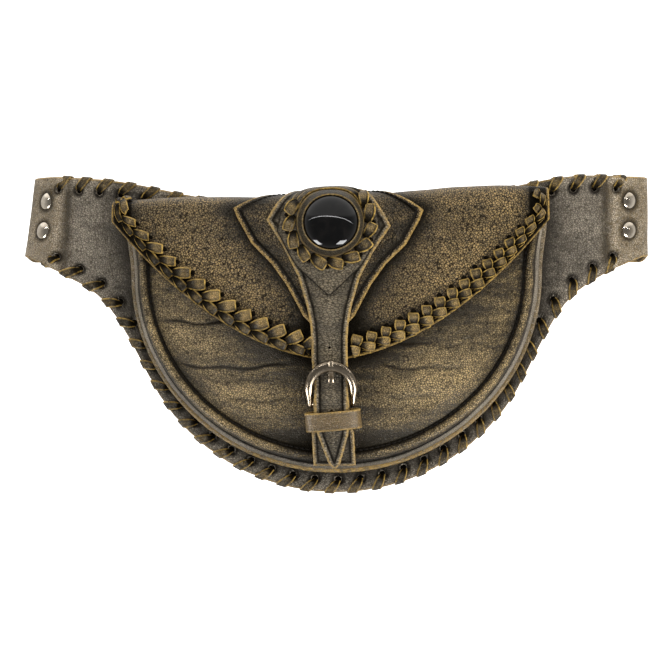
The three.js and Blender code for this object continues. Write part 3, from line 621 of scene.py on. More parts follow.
def lay_tree():
    tree, entry = new_tree("lay along a path", [
        ("Shape", "Object"), ("Count", "Int"), ("Start", "Float"), ("Pitch", "Float"),
        ("Jitter", "Float"), ("Seed", "Int"), ("Material", "Material")])

    def same_each_way(value):
        return add(tree, "ShaderNodeCombineXYZ", {"X": value, "Y": value, "Z": value}).outputs[0]

    first = add(tree, "ShaderNodeCombineXYZ", {"X": entry["Start"]}).outputs[0]
    step = add(tree, "ShaderNodeCombineXYZ", {"X": entry["Pitch"]}).outputs[0]
    row = add(tree, "GeometryNodeMeshLine",
              {"Count": entry["Count"], "Start Location": first, "Offset": step}).outputs[0]
    shape = add(tree, "GeometryNodeObjectInfo", {"Object": entry["Shape"]}).outputs["Geometry"]
    low = same_each_way(work_out(tree, "SUBTRACT", 1.0, entry["Jitter"]))
    high = same_each_way(work_out(tree, "ADD", 1.0, entry["Jitter"]))
    size = add(tree, "FunctionNodeRandomValue", {0: low, 1: high, "Seed": entry["Seed"]},
               data_type="FLOAT_VECTOR").outputs[0]
    copies = add(tree, "GeometryNodeInstanceOnPoints",
                 {"Points": row, "Instance": shape, "Scale": size}).outputs[0]
    other_seed = work_out(tree, "ADD", entry["Seed"], TINT_SEED)
    chance = add(tree, "FunctionNodeRandomValue", {"Seed": other_seed},
                 data_type="FLOAT").outputs[1]
    tinted = add(tree, "GeometryNodeStoreNamedAttribute",
                 {"Geometry": copies, "Name": "tint", "Value": chance},
                 data_type="FLOAT", domain="INSTANCE").outputs[0]
    real = add(tree, "GeometryNodeRealizeInstances", {"Geometry": tinted}).outputs[0]
    curve = add(tree, "GeometryNodeMeshToCurve", {"Mesh": entry["Geometry"]}).outputs[0]
    spot = add(tree, "GeometryNodeInputPosition").outputs[0]
    at = add(tree, "ShaderNodeSeparateXYZ", {0: spot}).outputs

    def sampled(name, kind="FLOAT_VECTOR"):
        sockets = {"Curves": curve, "Value": stored(tree, name, kind), "Length": at["X"]}
        return add(tree, "GeometryNodeSampleCurve", sockets, mode="LENGTH", data_type=kind,
                   use_all_curves=True).outputs

    side, face, deep = sampled("side"), sampled("face"), sampled("deep", "FLOAT")
    rear = {"Value": at["Z"], "From Min": 0.0, "From Max": -REAR_RUN * MM}
    behind = add(tree, "ShaderNodeMapRange", rear).outputs[0]
    lift = work_out(tree, "SUBTRACT", at["Z"], work_out(tree, "MULTIPLY", behind, deep["Value"]))
    across, outward = scaled(tree, side["Value"], at["Y"]), scaled(tree, face["Value"], lift)
    bent = vector_sum(tree, side["Position"], vector_sum(tree, across, outward))
    laid = add(tree, "GeometryNodeSetPosition", {"Geometry": real, "Position": bent}).outputs[0]
    end_tree(tree, laid, entry["Material"])
    return tree


punch = punch_tree()
seat_parts = seat_tree()
lay_along = lay_tree()
print("node trees:", [tree.name for tree in bpy.data.node_groups])


def punched(name, sheet, spots, side, face, radius, depth, material):
    """A sheet with round holes through it at the spots, along their face direction."""
    centres = path_mesh(name + "_holes", spots, side=np.broadcast_to(side, spots.shape),
                        face=np.broadcast_to(face, spots.shape))
    cut = run_tree(punch, sheet, name, Centres=centres, Radius=radius * MM, Depth=depth * MM,
                   Material=material)
    bpy.data.objects.remove(centres)
    return cut


def lay(name, shape, line, side, face, count, start, pitch, material, jitter, seed, deep=0.0):
    """Lays copies of a shape along a millimetre line with the path tree."""
    depth = np.broadcast_to(np.asarray(deep, float) * MM, len(line))
    path = path_mesh(name + "_path", line, side=side, face=face, deep=depth)
    return run_tree(lay_along, path, name, Shape=shape, Count=count, Start=start * MM,
                    Pitch=pitch * MM, Jitter=jitter, Seed=seed, Material=material)


# %% [markdown]
# ## The hip panel
# The panel is one piece of thick hide. Seen from above it runs flat behind the pouch, bends round
# the hip at each wing, turns back on itself as a belt loop and ends under two rivets. So its
# plan is a line, offset to both sides for the thickness, and its height at each station comes
# from the cut of the upper and lower edge. The left wing is bent further than the right.

# %% Panel formulas
PANEL_HALF = 1.3
FLAT_HALF = 113.0
WING_LENGTH = 73.1
WING_END = FLAT_HALF + WING_LENGTH
HIP_RADIUS = {"left": 83.0, "right": 108.0}
LOWER_ARC = {"radius": 122.3, "centre": -38.2, "half": 104.0}
UPPER_EDGE = {"middle": 8.5, "rise": 14.5, "from": 50.0, "to": 150.0}
WING_LOWER = {
    "along": [97, 104, 111, 118, 125, 132, 140, 150, 157.5, 165, 176, WING_END],
    "height": [-112.7, -102.5, -89.5, -75.5, -63, -52.8, -44.8, -38.3, -34.5, -31, -27.2, -24.2],
}
LOOP = {"radius": 6.2, "turn": math.radians(238), "tail_rear": 3.1, "fold": 8.2, "droop": 3.0}
RIVET_ALONG = WING_END - 12
RIVET_HEIGHTS = (-8.7, 8.7)
RIVET_SEATS = np.array([(side * RIVET_ALONG, z) for side in (-1, 1) for z in RIVET_HEIGHTS])
TAIL_END = RIVET_ALONG - 9.5


def wing_bend(along):
    radius = np.where(along < 0, HIP_RADIUS["left"], HIP_RADIUS["right"])
    return radius, np.clip(np.abs(along) - FLAT_HALF, 0, WING_LENGTH) / radius


def panel_point(along, rear, height):
    along = np.asarray(along, float)
    radius, bend = wing_bend(along)
    past = np.maximum(0, np.abs(along) - WING_END)
    arm = radius - rear
    x = np.minimum(np.abs(along), FLAT_HALF) + arm * np.sin(bend) + past * np.cos(bend)
    forward = PANEL_HALF - rear - arm * (1 - np.cos(bend)) - past * np.sin(bend)
    return place(np.where(along < 0, -x, x), forward, height)


def panel_frame(along):
    turn = wing_bend(along)[1] * np.sign(along)
    zero = np.zeros_like(turn)
    tangent = np.stack([np.cos(turn), np.sin(turn), zero], axis=-1)
    face = np.stack([np.sin(turn), -np.cos(turn), zero], axis=-1)
    return tangent, face


def lower_edge(along):
    reach = np.abs(along)
    inside = np.minimum(reach, LOWER_ARC["half"])
    arc = LOWER_ARC["centre"] - np.sqrt(LOWER_ARC["radius"] ** 2 - inside**2)
    wing = np.interp(reach, WING_LOWER["along"], WING_LOWER["height"])
    return np.where(reach > LOWER_ARC["half"], wing, arc)


def upper_edge(along):
    share = smooth(np.abs(along), UPPER_EDGE["from"], UPPER_EDGE["to"])
    return UPPER_EDGE["middle"] + UPPER_EDGE["rise"] * share


# %% Lace spacing
LACE = {"inset": 7.5, "pitch": 13.8, "trail": 5.6, "reach": 172.0, "hole": 1.9, "drill": 16.0}


def edge_track(height_at, start, end):
    """An edge of the panel by even lengths: flat places, inward directions and hole lengths."""
    along = np.linspace(start, end, 900)
    line = even(relax(np.stack([along, height_at(along)], axis=-1), 60), 700)
    inward = left_normals(line)
    length = run_along(line)[-1]
    count = int(length // LACE["pitch"])
    pitch = length / count
    return {"line": line, "inward": inward, "length": length, "count": count, "pitch": pitch}


def on_track(track, lengths, inset):
    share = np.clip(lengths / track["length"], 0, 1) * (len(track["line"]) - 1)
    index = np.clip(np.round(share).astype(int), 0, len(track["line"]) - 1)
    return track["line"][index] + inset * track["inward"][index]


tracks = {
    "lower": edge_track(lower_edge, -LACE["reach"], LACE["reach"]),
    "upper": edge_track(upper_edge, LACE["reach"], -LACE["reach"]),
}
hole_lengths = {key: (np.arange(t["count"]) + 0.5) * t["pitch"] for key, t in tracks.items()}
holes = np.vstack([on_track(tracks[key], hole_lengths[key], LACE["inset"]) for key in tracks])
rims = np.vstack([on_track(tracks[key], hole_lengths[key] - LACE["trail"], 0) for key in tracks])
print("lace holes:", len(holes))

# %% Pouch outline used for shading
POUCH = {"radius": 114.0, "centre": -34.0, "top": 2.0, "flare": 0.03, "wide": 1.035}


def pouch_outline_distance(x, height):
    """Distance outwards from the U where the pouch is sewn down; negative inside it."""
    down = np.minimum(0, height - POUCH["centre"])
    wide = POUCH["wide"] + POUCH["flare"] * smooth(height, POUCH["centre"], POUCH["top"])
    return np.hypot(x / wide, down) - POUCH["radius"]


# %% Panel mesh


def panel_path():
    """Half of the panel from above: out along the wing, round the loop and back to the tail."""
    flat = [(s, 0.0) for s in np.arange(0, WING_END, 1.2)]
    turns = np.linspace(0, LOOP["turn"], 24)
    curl = [(WING_END + LOOP["radius"] * math.sin(t), LOOP["radius"] * (1 - math.cos(t)))
            for t in turns]
    tail = [(s, LOOP["tail_rear"]) for s in np.linspace(WING_END - LOOP["fold"], TAIL_END, 14)]
    line = np.array(flat + curl + tail)
    return even(relax(even(line, 260), 3), 190)


def hole_distance(along, height):
    return np.min([np.hypot(along - x, height - z) for x, z in holes], axis=0)


def rivet_distance(along, height):
    reach = np.abs(along) - RIVET_ALONG
    return np.min([np.hypot(reach, height - z) for z in RIVET_HEIGHTS], axis=0)


def panel_shades(along, height, distance, tail):
    """Shade painted round the holes, rivets and pouch; wear and painted highlight on edges and
    creases.
    """
    reach = np.abs(along)
    ends = smooth(reach, 150, 166)
    dark = 0.1 + 0.9 * (1 - smooth(hole_distance(along, height), 1.9, 4.6))
    dark += 0.7 * (1 - smooth(rivet_distance(along, height), 4.6, 8.5))
    dark += 0.6 * trail_off(np.abs(pouch_outline_distance(along, height)), 9.0)
    dark += 0.4 * bell(reach, TAIL_END - 7.0, 2.6) * (1 - tail)
    rub = 0.75 * bell(reach, TAIL_END - 1.0, 2.4) * (1 - tail)
    rub += 0.45 * bell(distance, 3.0, 2.6) - 0.12 * ends
    raw = 0.75 * (1 - smooth(distance, 0.4, 1.5)) + 0.16 * ends * (1 - dark)
    return {"dark": dark, "rub": rub, "raw": raw}


def edge_pull(along, side):
    """How far the thong draws in the upper edge (1) or the lower one (-1) at each turn."""
    pull = sum(0.55 * bell(along, x, 2.6) for x, z in rims if z * side > 0)
    return np.minimum(pull, 0.8)


def make_panel():
    half = panel_path()
    mirror = np.array([-1, 1])
    line = np.vstack([half[:0:-1] * mirror, half])
    normals = np.vstack([left_normals(half)[:0:-1] * mirror, left_normals(half)])
    share = (edge_spread(84) + 1) / 2
    along = line[:, :1]
    folded = smooth(line[:, 1:], 0, 8) * smooth(np.abs(along), RIVET_ALONG, WING_END)
    tail = smooth(line[:, 1:], 0.5, 2.5)
    low = lower_edge(along) - LOOP["droop"] * folded + edge_pull(along, -1) * (1 - tail)
    high = upper_edge(along) - edge_pull(along, 1) * (1 - tail)
    height = low + (high - low) * share
    along = np.broadcast_to(along, height.shape)
    run = run_along(line)[:, None]
    ends = np.minimum(run, run[-1] - run)
    distance = np.minimum(np.minimum(height - low, high - height), ends)
    full = round_off(distance, 1.1)

    flat = place(along, 0.0, height)
    wave = 0.7 * soft_noise(flat, 34, 3) + 0.3 * soft_noise(flat, 13, 4)
    hole = hole_distance(along, height)
    dent = 0.7 * bell(hole, 6.5, 2.6) - 0.6 * bell(hole, 0, 3.0)
    dent += 0.9 * smooth(np.abs(along), TAIL_END - 5, TAIL_END + 1)
    dent -= 0.7 * bell(rivet_distance(along, height), 0, 6.0)
    calm = smooth(np.abs(along), 60, 120)
    bulge = (wave * (0.25 + 0.75 * calm) + dent) * (1 - tail) * full

    def face(offset):
        shift = offset[..., None] * normals[:, None, :]
        return panel_point(along + shift[..., 0], line[:, 1:] + shift[..., 1], height)

    shades = panel_shades(along, height, distance, tail)
    outer = face(-PANEL_HALF * full - bulge)
    inner = face(PANEL_HALF * full - np.maximum(bulge, 0) * 0.6)
    return make_sheet("panel_uncut", outer, inner, shades, hide_panel)


punch_spots = np.vstack([holes, RIVET_SEATS])
punch_tangent, punch_face = panel_frame(punch_spots[:, 0])
punch_places = panel_point(punch_spots[:, 0], 0.0, punch_spots[:, 1])
hip_panel = punched("hip_panel", make_panel(), punch_places, punch_tangent, punch_face,
                    LACE["hole"], LACE["drill"], hide_panel)
dress(hip_panel, "panel_leather", "back_panel")

# %% [markdown]
# ## The whip-stitched edge
# A flat thong runs through every hole, over the rim and back behind to the next hole. One turn
# of it is modelled once, as a ribbon with a rounded section, and the tree lays it along both
# edges. A dark lens in each hole is painted shade: it stands for the shaded hole and keeps light
# from showing through it. At the wing ends the thong also passes behind the folded tail, so its
# rear run is set deeper there.

# %% Ribbon maker
RIBBON_SECTION = [(1, 0), (0.93, 0.75), (0.6, 1), (0, 1.1), (-0.6, 1), (-0.93, 0.75),
                  (-1, 0), (-0.93, -0.8), (0, -1), (0.93, -0.8)]


def ribbon(name, line, ups, widths, thick, material, steps):
    """A thong along a line, with its flat side facing the given way at each point."""
    table = catmull(np.hstack([line, ups, np.asarray(widths, float)[:, None]]), steps)
    spine, up, width = table[:, :3], unit(table[:, 3:6]), table[:, 6]
    run = unit(np.gradient(spine, axis=0))
    across = unit(np.cross(run, up))
    up = np.cross(across, run)
    section = np.array(RIBBON_SECTION)
    points = (spine[:, None] + across[:, None] * (section[:, :1] * width[:, None, None] / 2)
              + up[:, None] * section[:, 1:] * thick / 2)
    # The first stretch, where the thong leaves its hole, is darkened as painted shade.
    fade = 1 - smooth(np.arange(steps), steps * 0.14, steps * 0.26)
    shades = {"raw": (np.abs(section[:, 0]) > 0.9) * 0.8, "rub": (section[:, 1] > 1) * 0.3,
              "dark": 0.34 + 0.8 * fade[:, None]}
    return make_bar(name, points, shades, material)


HOLE_SIDES = 10


def dark_hole(along, across, radius, lift):
    """A shallow dark lens, painted shade that reads as the punched hole at a strand's end."""
    turn = np.linspace(0, 2 * math.pi, HOLE_SIDES, endpoint=False)
    rim = np.column_stack([along + radius * np.cos(turn), across + radius * np.sin(turn),
                           np.full(HOLE_SIDES, lift)])
    points = np.vstack([rim, [(along, across, lift + 0.25), (along, across, lift - 0.4)]])
    top, bottom = HOLE_SIDES, HOLE_SIDES + 1
    pairs = [(k, (k + 1) % HOLE_SIDES) for k in range(HOLE_SIDES)]
    faces = [(a, b, top, top) for a, b in pairs] + [(b, a, bottom, bottom) for a, b in pairs]
    return points, np.array(faces), {"dark": np.ones(len(points))}


# %% Edge thongs
THONG_TURN = [
    # along, inward, front; up along, inward, front; width
    (3.4, 7.7, -2.1, 0, 0, 1, 4.2),
    (1.7, 7.3, -1.7, 0, 0.35, 0.9, 3.8),
    (0.5, 7.0, -0.5, 0, 0.85, 0.5, 3.2),
    (0.0, 6.5, 1.2, 0, 0.8, 0.6, 3.4),
    (-0.9, 5.4, 2.1, 0, 0.25, 0.95, 4.4),
    (-2.4, 3.7, 2.2, 0, 0, 1, 5.1),
    (-4.1, 1.6, 2.1, 0, -0.1, 1, 5.4),
    (-5.2, 0.4, 1.7, 0, -0.55, 0.83, 5.4),
    (-5.6, -0.25, 0.6, 0, -0.95, 0.3, 5.3),
    (-5.6, -0.3, -0.7, 0, -0.95, -0.3, 5.2),
    (-5.3, 0.2, -1.8, 0, -0.5, -0.86, 5.0),
    (-4.0, 1.3, -2.15, 0, 0, -1, 4.8),
    (2.5, 3.5, -2.2, 0, 0, -1, 4.4),
    (9.0, 5.7, -2.2, 0, 0, -1, 4.2),
    (12.2, 6.7, -2.15, 0, 0, -1, 4.2),
    (14.6, 7.4, -2.1, 0, 0, -1, 4.0),
]
turn_table = np.array(THONG_TURN, float)
thong = ribbon("thong_turn", turn_table[:, :3], turn_table[:, 3:6], turn_table[:, 6], 1.05,
               hide_thong, steps=40)
# The dark lens is painted shade in the thong's hole.
lens = dark_hole(0.0, LACE["inset"], LACE["hole"] + 0.7, -0.4)
hole_shade = make_piece("thong_plug", *lens, hide_thong)
thong = merge("thong_turn", [thong, hole_shade])


def lace_edge(name, key, node, seed):
    track = tracks[key]
    along, height = track["line"].T
    tangent, face = panel_frame(along)
    side = tangent * track["inward"][:, :1] + np.array([0, 0, 1]) * track["inward"][:, 1:]
    deep = LOOP["tail_rear"] * smooth(np.abs(along), TAIL_END - 7, TAIL_END - 3)
    made = lay(name, thong, panel_point(along, 0.0, height), side, face, track["count"],
               track["pitch"] / 2, track["pitch"], hide_thong, jitter=0.05, seed=seed, deep=deep)
    dress(made, "lace_leather", node)


lace_edge("edge_thong_lower", "lower", "edge_lace_lower", 11)
lace_edge("edge_thong_upper", "upper", "edge_lace_upper", 12)
bpy.data.objects.remove(thong)

# %% [markdown]
# ## Rivets
# Each belt loop is closed by two tubular rivets with domed caps. One rivet is turned from a
# profile and the seating tree sets it on the four holes.

# %% Rivets
RIVET_PROFILE = [  # radius, lift from the middle of the panel
    (0, -5.95), (1.6, -5.9), (2.4, -5.6), (2.6, -5.1), (2.6, -4.7), (1.5, -4.5), (1.5, 1.2),
    (4.9, 1.25), (5.05, 1.45), (5.0, 1.75), (4.6, 2.2), (3.9, 2.66), (3.0, 3.05), (2.0, 3.33),
    (1.0, 3.48), (0, 3.52),
]
RIVET_LIFT = 0.2
RIVET_SIDES = 40


def turned(rows, sides):
    """Points and faces of a round part about Z from rows of radius and lift."""
    radius, lift = np.array(rows, float).T
    turn = np.linspace(0, 2 * math.pi, sides, endpoint=False)[:, None]
    points = np.broadcast_arrays(radius * np.cos(turn), radius * np.sin(turn), lift)
    return np.stack(points, axis=-1).reshape(-1, 3), grid_faces(sides, len(radius), ring=True)


rivet = make_piece("rivet_part", *turned(RIVET_PROFILE, RIVET_SIDES), {}, cap_nickel)
seat_tangent, seat_face = panel_frame(RIVET_SEATS[:, 0])
seat_spots = panel_point(RIVET_SEATS[:, 0], 0.0, RIVET_SEATS[:, 1]) + RIVET_LIFT * seat_face
rivet_points = path_mesh("rivet_points", seat_spots, side=seat_tangent, face=seat_face)
loop_rivets = run_tree(seat_parts, rivet_points, "loop_rivets", Part=rivet, Material=cap_nickel)
bpy.data.objects.remove(rivet)
dress(loop_rivets, "nickel", "rivet_left_lower", "rivet_left_upper", "rivet_right_lower",
      "rivet_right_upper")

# %% [markdown]
# ## The pouch
# A U-shaped gusset stands on the panel, and a domed front is rolled over its rim. Both are one
# profile swept round the same U, so they share a track: down the left side, round the half
# circle and up the right side. The front carries the long creases of a handled pouch, and its
# rolled rim is set off by a sewn groove.

# %% Pouch formulas
GUSSET_PROFILE = [  # inset from the outline, distance forward
    (-1.0, 3.9), (2.2, 3.9), (3.2, 5.5), (2.6, 10), (3.2, 15), (4.6, 19.4), (5.95, 21.45),
]
FRONT_PROFILE = [
    (5, 22.4), (5.7, 24.4), (7.4, 25.9), (9.5, 25.5), (11.2, 22.8), (12.8, 23.7), (20, 26.3),
    (40, 30.2), (70, 34), (POUCH["radius"], 35),
]
GROOVE_INSET = 11.2


def pouch_track(side_steps, arc_steps):
    side = np.linspace(POUCH["top"], POUCH["centre"], side_steps, endpoint=False)
    turn = np.linspace(math.pi, 2 * math.pi, arc_steps)
    across = np.concatenate([-np.ones(side_steps), np.cos(turn), np.ones(side_steps)])
    height = np.concatenate([side, np.full(arc_steps, POUCH["centre"]), side[::-1]])
    fall = np.concatenate([np.zeros(side_steps), np.sin(turn), np.zeros(side_steps)])
    return across[:, None], height[:, None], fall[:, None]


def pouch_point(track, inset, forward):
    across, height, fall = track
    radius = POUCH["radius"] - inset
    flare = POUCH["wide"] + POUCH["flare"] * smooth(height, POUCH["centre"], POUCH["top"])
    return place(radius * across * flare, forward, height + radius * fall)


def rim_scale(track):
    """The rolled rim is slim at the mouth and broad at the bottom."""
    return 0.74 + 0.2 * smooth(-track[1], -2, 34) + 0.18 * track[2] ** 2


def profile_line(rows, count, rounds):
    return even(relax(even(np.array(rows, float), 4 * count), rounds), count)


def rim_ends(track_points):
    """Distance of each station from the two open ends of the U."""
    run = run_along(track_points)[:, None]
    return np.minimum(run, run[-1] - run)


# %% Gusset


def make_gusset():
    track = pouch_track(26, 210)
    line = profile_line(GUSSET_PROFILE, 34, 6)
    normal = left_normals(line)
    run = even_run(line)
    middle = pouch_point(track, line[:, 0], line[:, 1])
    distance = np.minimum(np.minimum(run, run[-1] - run), rim_ends(middle[:, 3]))
    full = round_off(distance, 0.9)
    wave = 0.35 * soft_noise(middle, 16, 21) * smooth(run, 2, 8)

    def face(offset):
        shift = offset[..., None] * normal
        return pouch_point(track, line[:, 0] + shift[..., 0], line[:, 1] + shift[..., 1])

    flange = 1 - smooth(run, 2.4, 3.4)
    seam = bell(run, 4.6, 1.0) + bell(run, run[-1], 1.6)
    shades = {"dark": 0.1 + seam, "rub": 0.5 * smooth(run, 8, 16),
              "raw": flange * (0.2 + 0.75 * track[2] ** 2)}
    return make_sheet("pouch_gusset", face(full + wave), face(-full + wave), shades, hide_panel)


dress(make_gusset(), "panel_leather", "gusset")

# %% Pouch front
CREASES = [  # across start, across end, height, sag, depth
    (-104, -42, -59, -3.0, 0.5), (-96, -20, -84, -3.5, 0.45), (-66, -24, -105, -1.5, 0.35),
    (-80, -30, -93, -2.0, 0.25), (22, 78, -86, -2.5, 0.35), (30, 92, -73, -2.0, 0.25),
    (26, 60, -104, -1.0, 0.25),
]
RUBBED = [  # across, width, height, tallness, strength
    (-52, 36, -108, 13, 0.95), (58, 40, -98, 20, 0.75), (-84, 22, -66, 16, 0.45),
]
POUCH_THICK = 2.0


def crease_field(x, height):
    """Depth of the creases at a place on the pouch front."""
    depth = np.zeros_like(x)
    for start, end, level, sag, deep in CREASES:
        share = np.clip((x - start) / (end - start), 0, 1)
        window = smooth(share, 0, 0.2) * (1 - smooth(share, 0.75, 1))
        line = level + sag * 4 * share * (1 - share) + 0.7 * np.sin(x / 4.3 + level)
        depth = depth + deep * window * bell(height, line, 0.9)
    return depth


def make_pouch_front():
    track = pouch_track(34, 230)
    line = profile_line(FRONT_PROFILE, 104, 5)
    normal = left_normals(line)
    normal[-1] = (0, 1)
    inset = line[:, 0] * (1 + (rim_scale(track) - 1) * (1 - smooth(line[:, 0], 14, 40)))
    middle = pouch_point(track, inset, line[:, 1])
    x, height = middle[..., 0], middle[..., 2]
    run = even_run(line)
    distance = np.minimum(run, rim_ends(middle[:, 3]))
    full = round_off(distance, 0.9)
    inner_zone = smooth(line[:, 0], 15, 30)
    crease = crease_field(x, height)
    wave = inner_zone * (0.9 * soft_noise(middle * np.array([0.5, 1, 1]), 30, 31)
                         + 0.3 * soft_noise(middle * np.array([0.4, 1, 1]), 9, 32)) - crease

    def face(offset):
        shift = offset[..., None] * normal
        return pouch_point(track, inset + shift[..., 0], line[:, 1] + shift[..., 1])

    # Painted shade in the sewn groove, a painted shadow under the flap's edge and beside the strap,
    # and painted shade in the creases; a darker band just inside the rim towards the bottom; the
    # seam line is a dark joint.
    groove = 0.85 * bell(line[:, 0], GROOVE_INSET, 0.9, power=4)
    groove = groove * (0.45 + 0.55 * smooth(-height, 20, 90))
    groove = groove + 0.25 * bell(line[:, 0], GROOVE_INSET, 3.0)
    under_flap = trail_off(flap_edge(x) - height, 9.0) * (0.35 + 0.65 * bell(x, 0, 62.0))
    by_strap = bell(x, 0, 26.0) * (0.75 + 0.25 * np.sign(-x))
    band = 0.35 * bell(line[:, 0], 15, 5.0) * smooth(-height, 40, 110)
    seam = 0.5 * bell(line[:, 0], 5.2, 0.8)
    dark = groove + 0.75 * under_flap + 0.6 * by_strap + band + seam + 1.6 * crease
    # Wear and painted highlight on the rolled rim's crown, and the worn patches of RUBBED.
    rub = 0.6 * bell(line[:, 0], 8.4, 1.6) + sum(
        strong * bell(x, at, wide) * bell(height, level, tall)
        for at, wide, level, tall, strong in RUBBED)
    outer, inner = face(wave), face(wave - POUCH_THICK * full)
    return make_sheet("pouch_face", outer, inner, {"dark": dark, "rub": rub}, hide_pouch)


FLAP_EDGE = {"middle": -83.6, "slope": 0.09, "curve": 0.0044}


def flap_edge(x):
    return FLAP_EDGE["middle"] + FLAP_EDGE["slope"] * np.abs(x) + FLAP_EDGE["curve"] * x**2


dress(make_pouch_front(), "panel_leather", "pouch_front")

# %% [markdown]
# ## The flap
# The flap hangs in front of the pouch, rolls back over its mouth and is sewn to the panel by a
# tab. One function gives its outer face for any distance across and up, and every layer on the
# flap, such as the kite, strap and plait, is placed by the same function with a lift. A gentle
# relief is added to it once, so that all the layers share the flap's wrinkles.

# %% Flap formulas
FLAP = {"half": 125.0, "thick": 2.2, "side_depth": 26.0, "crown": 13.0, "tuck": 2.5, "drop": 86.0,
        "rear": 5.0}
ROLL = {"rise": 13.4, "end_fall": 3.0, "dip": 3.5, "dip_half": 40.0, "scale": 14.0, "slump": 2.2,
        "swell": 4.3}
TAB = {"length": 12.0, "step": 2.1, "half": 106.0, "narrow_from": 0.66, "narrow_to": 0.88}
ROLL_LENGTH = math.pi * ROLL["scale"]
DRIFT = -3.0  # the flap and all that is on it sit a little left of the panel's middle
KITE_DRIFT = -1.0
STRAP_SHIFT = -0.8
PLAIT_TOP = {-1: 27.0, 1: 17.0}  # how far up the flap the plait goes on the left and right


def flap_face(x, up):
    x, up = np.broadcast_arrays(np.asarray(x, float), np.asarray(up, float))
    share = x / FLAP["half"]
    depth = FLAP["side_depth"] + FLAP["crown"] * (1 - share**2)
    turn = np.clip(up / ROLL["scale"], 0, math.pi)
    rise = ROLL["rise"] - ROLL["end_fall"] * share**4 - ROLL["dip"] * bell(x, 0, ROLL["dip_half"])
    rise = rise - ROLL["slump"] * smooth(-x, -20, 60) + ROLL["swell"] * smooth(x, 30, 110)
    roll = (depth - FLAP["rear"]) / 2
    down = np.maximum(0, up - ROLL_LENGTH)
    forward = FLAP["rear"] + roll * (1 + np.cos(turn))
    forward = np.where(up < 0, depth - FLAP["tuck"] * (up / FLAP["drop"]) ** 2, forward)
    forward = forward - TAB["step"] * smooth(down, 0, TAB["length"] / 3)
    height = np.where(up < 0, up, rise * np.sin(turn) - down)
    return place(x, forward, height)


def flap_normal(x, up):
    near = 0.05
    across = flap_face(x + near, up) - flap_face(x - near, up)
    rise = flap_face(x, up + near) - flap_face(x, up - near)
    return unit(np.cross(across, rise))


def flap_relief(x, up):
    """The soft wrinkles of the flap, the same for every layer on it."""
    spots = np.stack(np.broadcast_arrays(x * 0.8, up, 0.0), axis=-1)
    calm = 1 - 0.6 * bell(x, 0, 40.0)
    return (0.55 * soft_noise(spots, 30, 41) + 0.2 * soft_noise(spots, 11, 42)) * calm


def flap_point(x, up, lift):
    x, up = np.broadcast_arrays(np.asarray(x, float), np.asarray(up, float))
    fade = 1 - smooth(up, 0.6 * ROLL_LENGTH, ROLL_LENGTH)
    raised = np.asarray(lift)[..., None] + (flap_relief(x, up) * fade)[..., None]
    return flap_face(x, up) + flap_normal(x, up) * raised


# %% Outlines of the layers on the flap
KITE = [  # up, half width
    (-64, 9), (-58, 14.5), (-41, 23.5), (-29, 32), (-17.5, 43.5), (-3, 51.5), (2.4, 53.5), (22, 27),
    (33, 8),
]
STRAP_HEAD = [(-53, 12.5), (-36, 17.3), (-20, 25.6), (-5.8, 34.8), (0, 31.6), (22, 17), (27.5, 12)]
PATCH = [(-46.6, 0.8), (-38, 10), (-29.9, 18.4), (-24, 22), (-10, 29), (0, 27), (22, 8)]


def outline_line(rows):
    """The closed outline of a layer that is the same on both sides, as across and up."""
    right = [(half, up) for up, half in rows]
    left = [(-half, up) for up, half in reversed(rows)]
    return np.array(right + left + right[:1], float)


# %% Flap mesh


def make_flap():
    share = edge_spread(150)[:, None]
    hang = (edge_spread(119)[:60] + 1)[None, :]
    roll = np.linspace(0, ROLL_LENGTH, 34)[None, 1:]
    tab = ROLL_LENGTH + TAB["length"] * (edge_spread(19)[None, 10:])
    above = np.hstack([roll, tab])
    edge = flap_edge(share * FLAP["half"])
    ups = np.hstack([edge * (1 - hang), np.repeat(above, len(share), axis=0)])
    narrow = smooth(ups / ROLL_LENGTH, TAB["narrow_from"], TAB["narrow_to"])
    half = FLAP["half"] + (TAB["half"] - FLAP["half"]) * narrow
    x = share * half
    sides = (1 - np.abs(share)) * half
    bottom = ups - edge
    top = ROLL_LENGTH + TAB["length"] - ups
    distance = np.minimum(np.minimum(sides, bottom), top)
    full = round_off(distance, 1.0)
    kite = line_distance(np.stack([x, ups], axis=-1), outline_line(KITE))
    border = np.minimum(sides, bottom)
    plaited = 1 - smooth(ups - np.where(x > 0, PLAIT_TOP[1], PLAIT_TOP[-1]), -1, 5)
    # Darker next to the kite and within 12 mm of the sides and lower edge; painted shade beside the
    # strap at the foot and under the plait; darker towards the back of the roll.
    dark = 0.85 * trail_off(kite, 6.5)
    dark += 0.55 * (1 - smooth(ups, -64, -56)) * trail_off(np.abs(x) - 10.5, 9.0)
    dark += 0.5 * trail_off(border - 12, 4.0)
    dark += 0.6 * (1 - smooth(border, 10.5, 12.5)) * smooth(border, 1.4, 2.4) * plaited
    dark += 0.35 * smooth(ups, ROLL_LENGTH * 0.5, ROLL_LENGTH * 0.7)
    # Wear and painted highlight along the roll's crown; worn lighter patches low on both sides.
    rub = 0.5 * bell(ups, ROLL_LENGTH * 0.33, 8.0)
    rub += 0.42 * bell(ups, -32, 24.0) * bell(np.abs(x), 66, 34.0)
    shades = {"dark": dark, "rub": rub, "raw": 0.9 * (1 - smooth(distance, 0.5, 1.6))}
    mid, thick = -FLAP["thick"] / 2, FLAP["thick"] / 2
    outer = flap_point(x, ups, mid + thick * full)
    inner = flap_point(x, ups, mid - thick * full)
    corner = outer[:-1, :-1]
    cells = np.cross(outer[1:, :-1] - corner, outer[:-1, 1:] - corner)
    area = float(np.linalg.norm(cells, axis=-1).sum()) * MM * MM
    return make_sheet("flap_hide", outer, inner, shades, hide_flap), area


flap_hide, flap_area = make_flap()
dress(flap_hide, "flap_leather", "flap", drift=DRIFT)

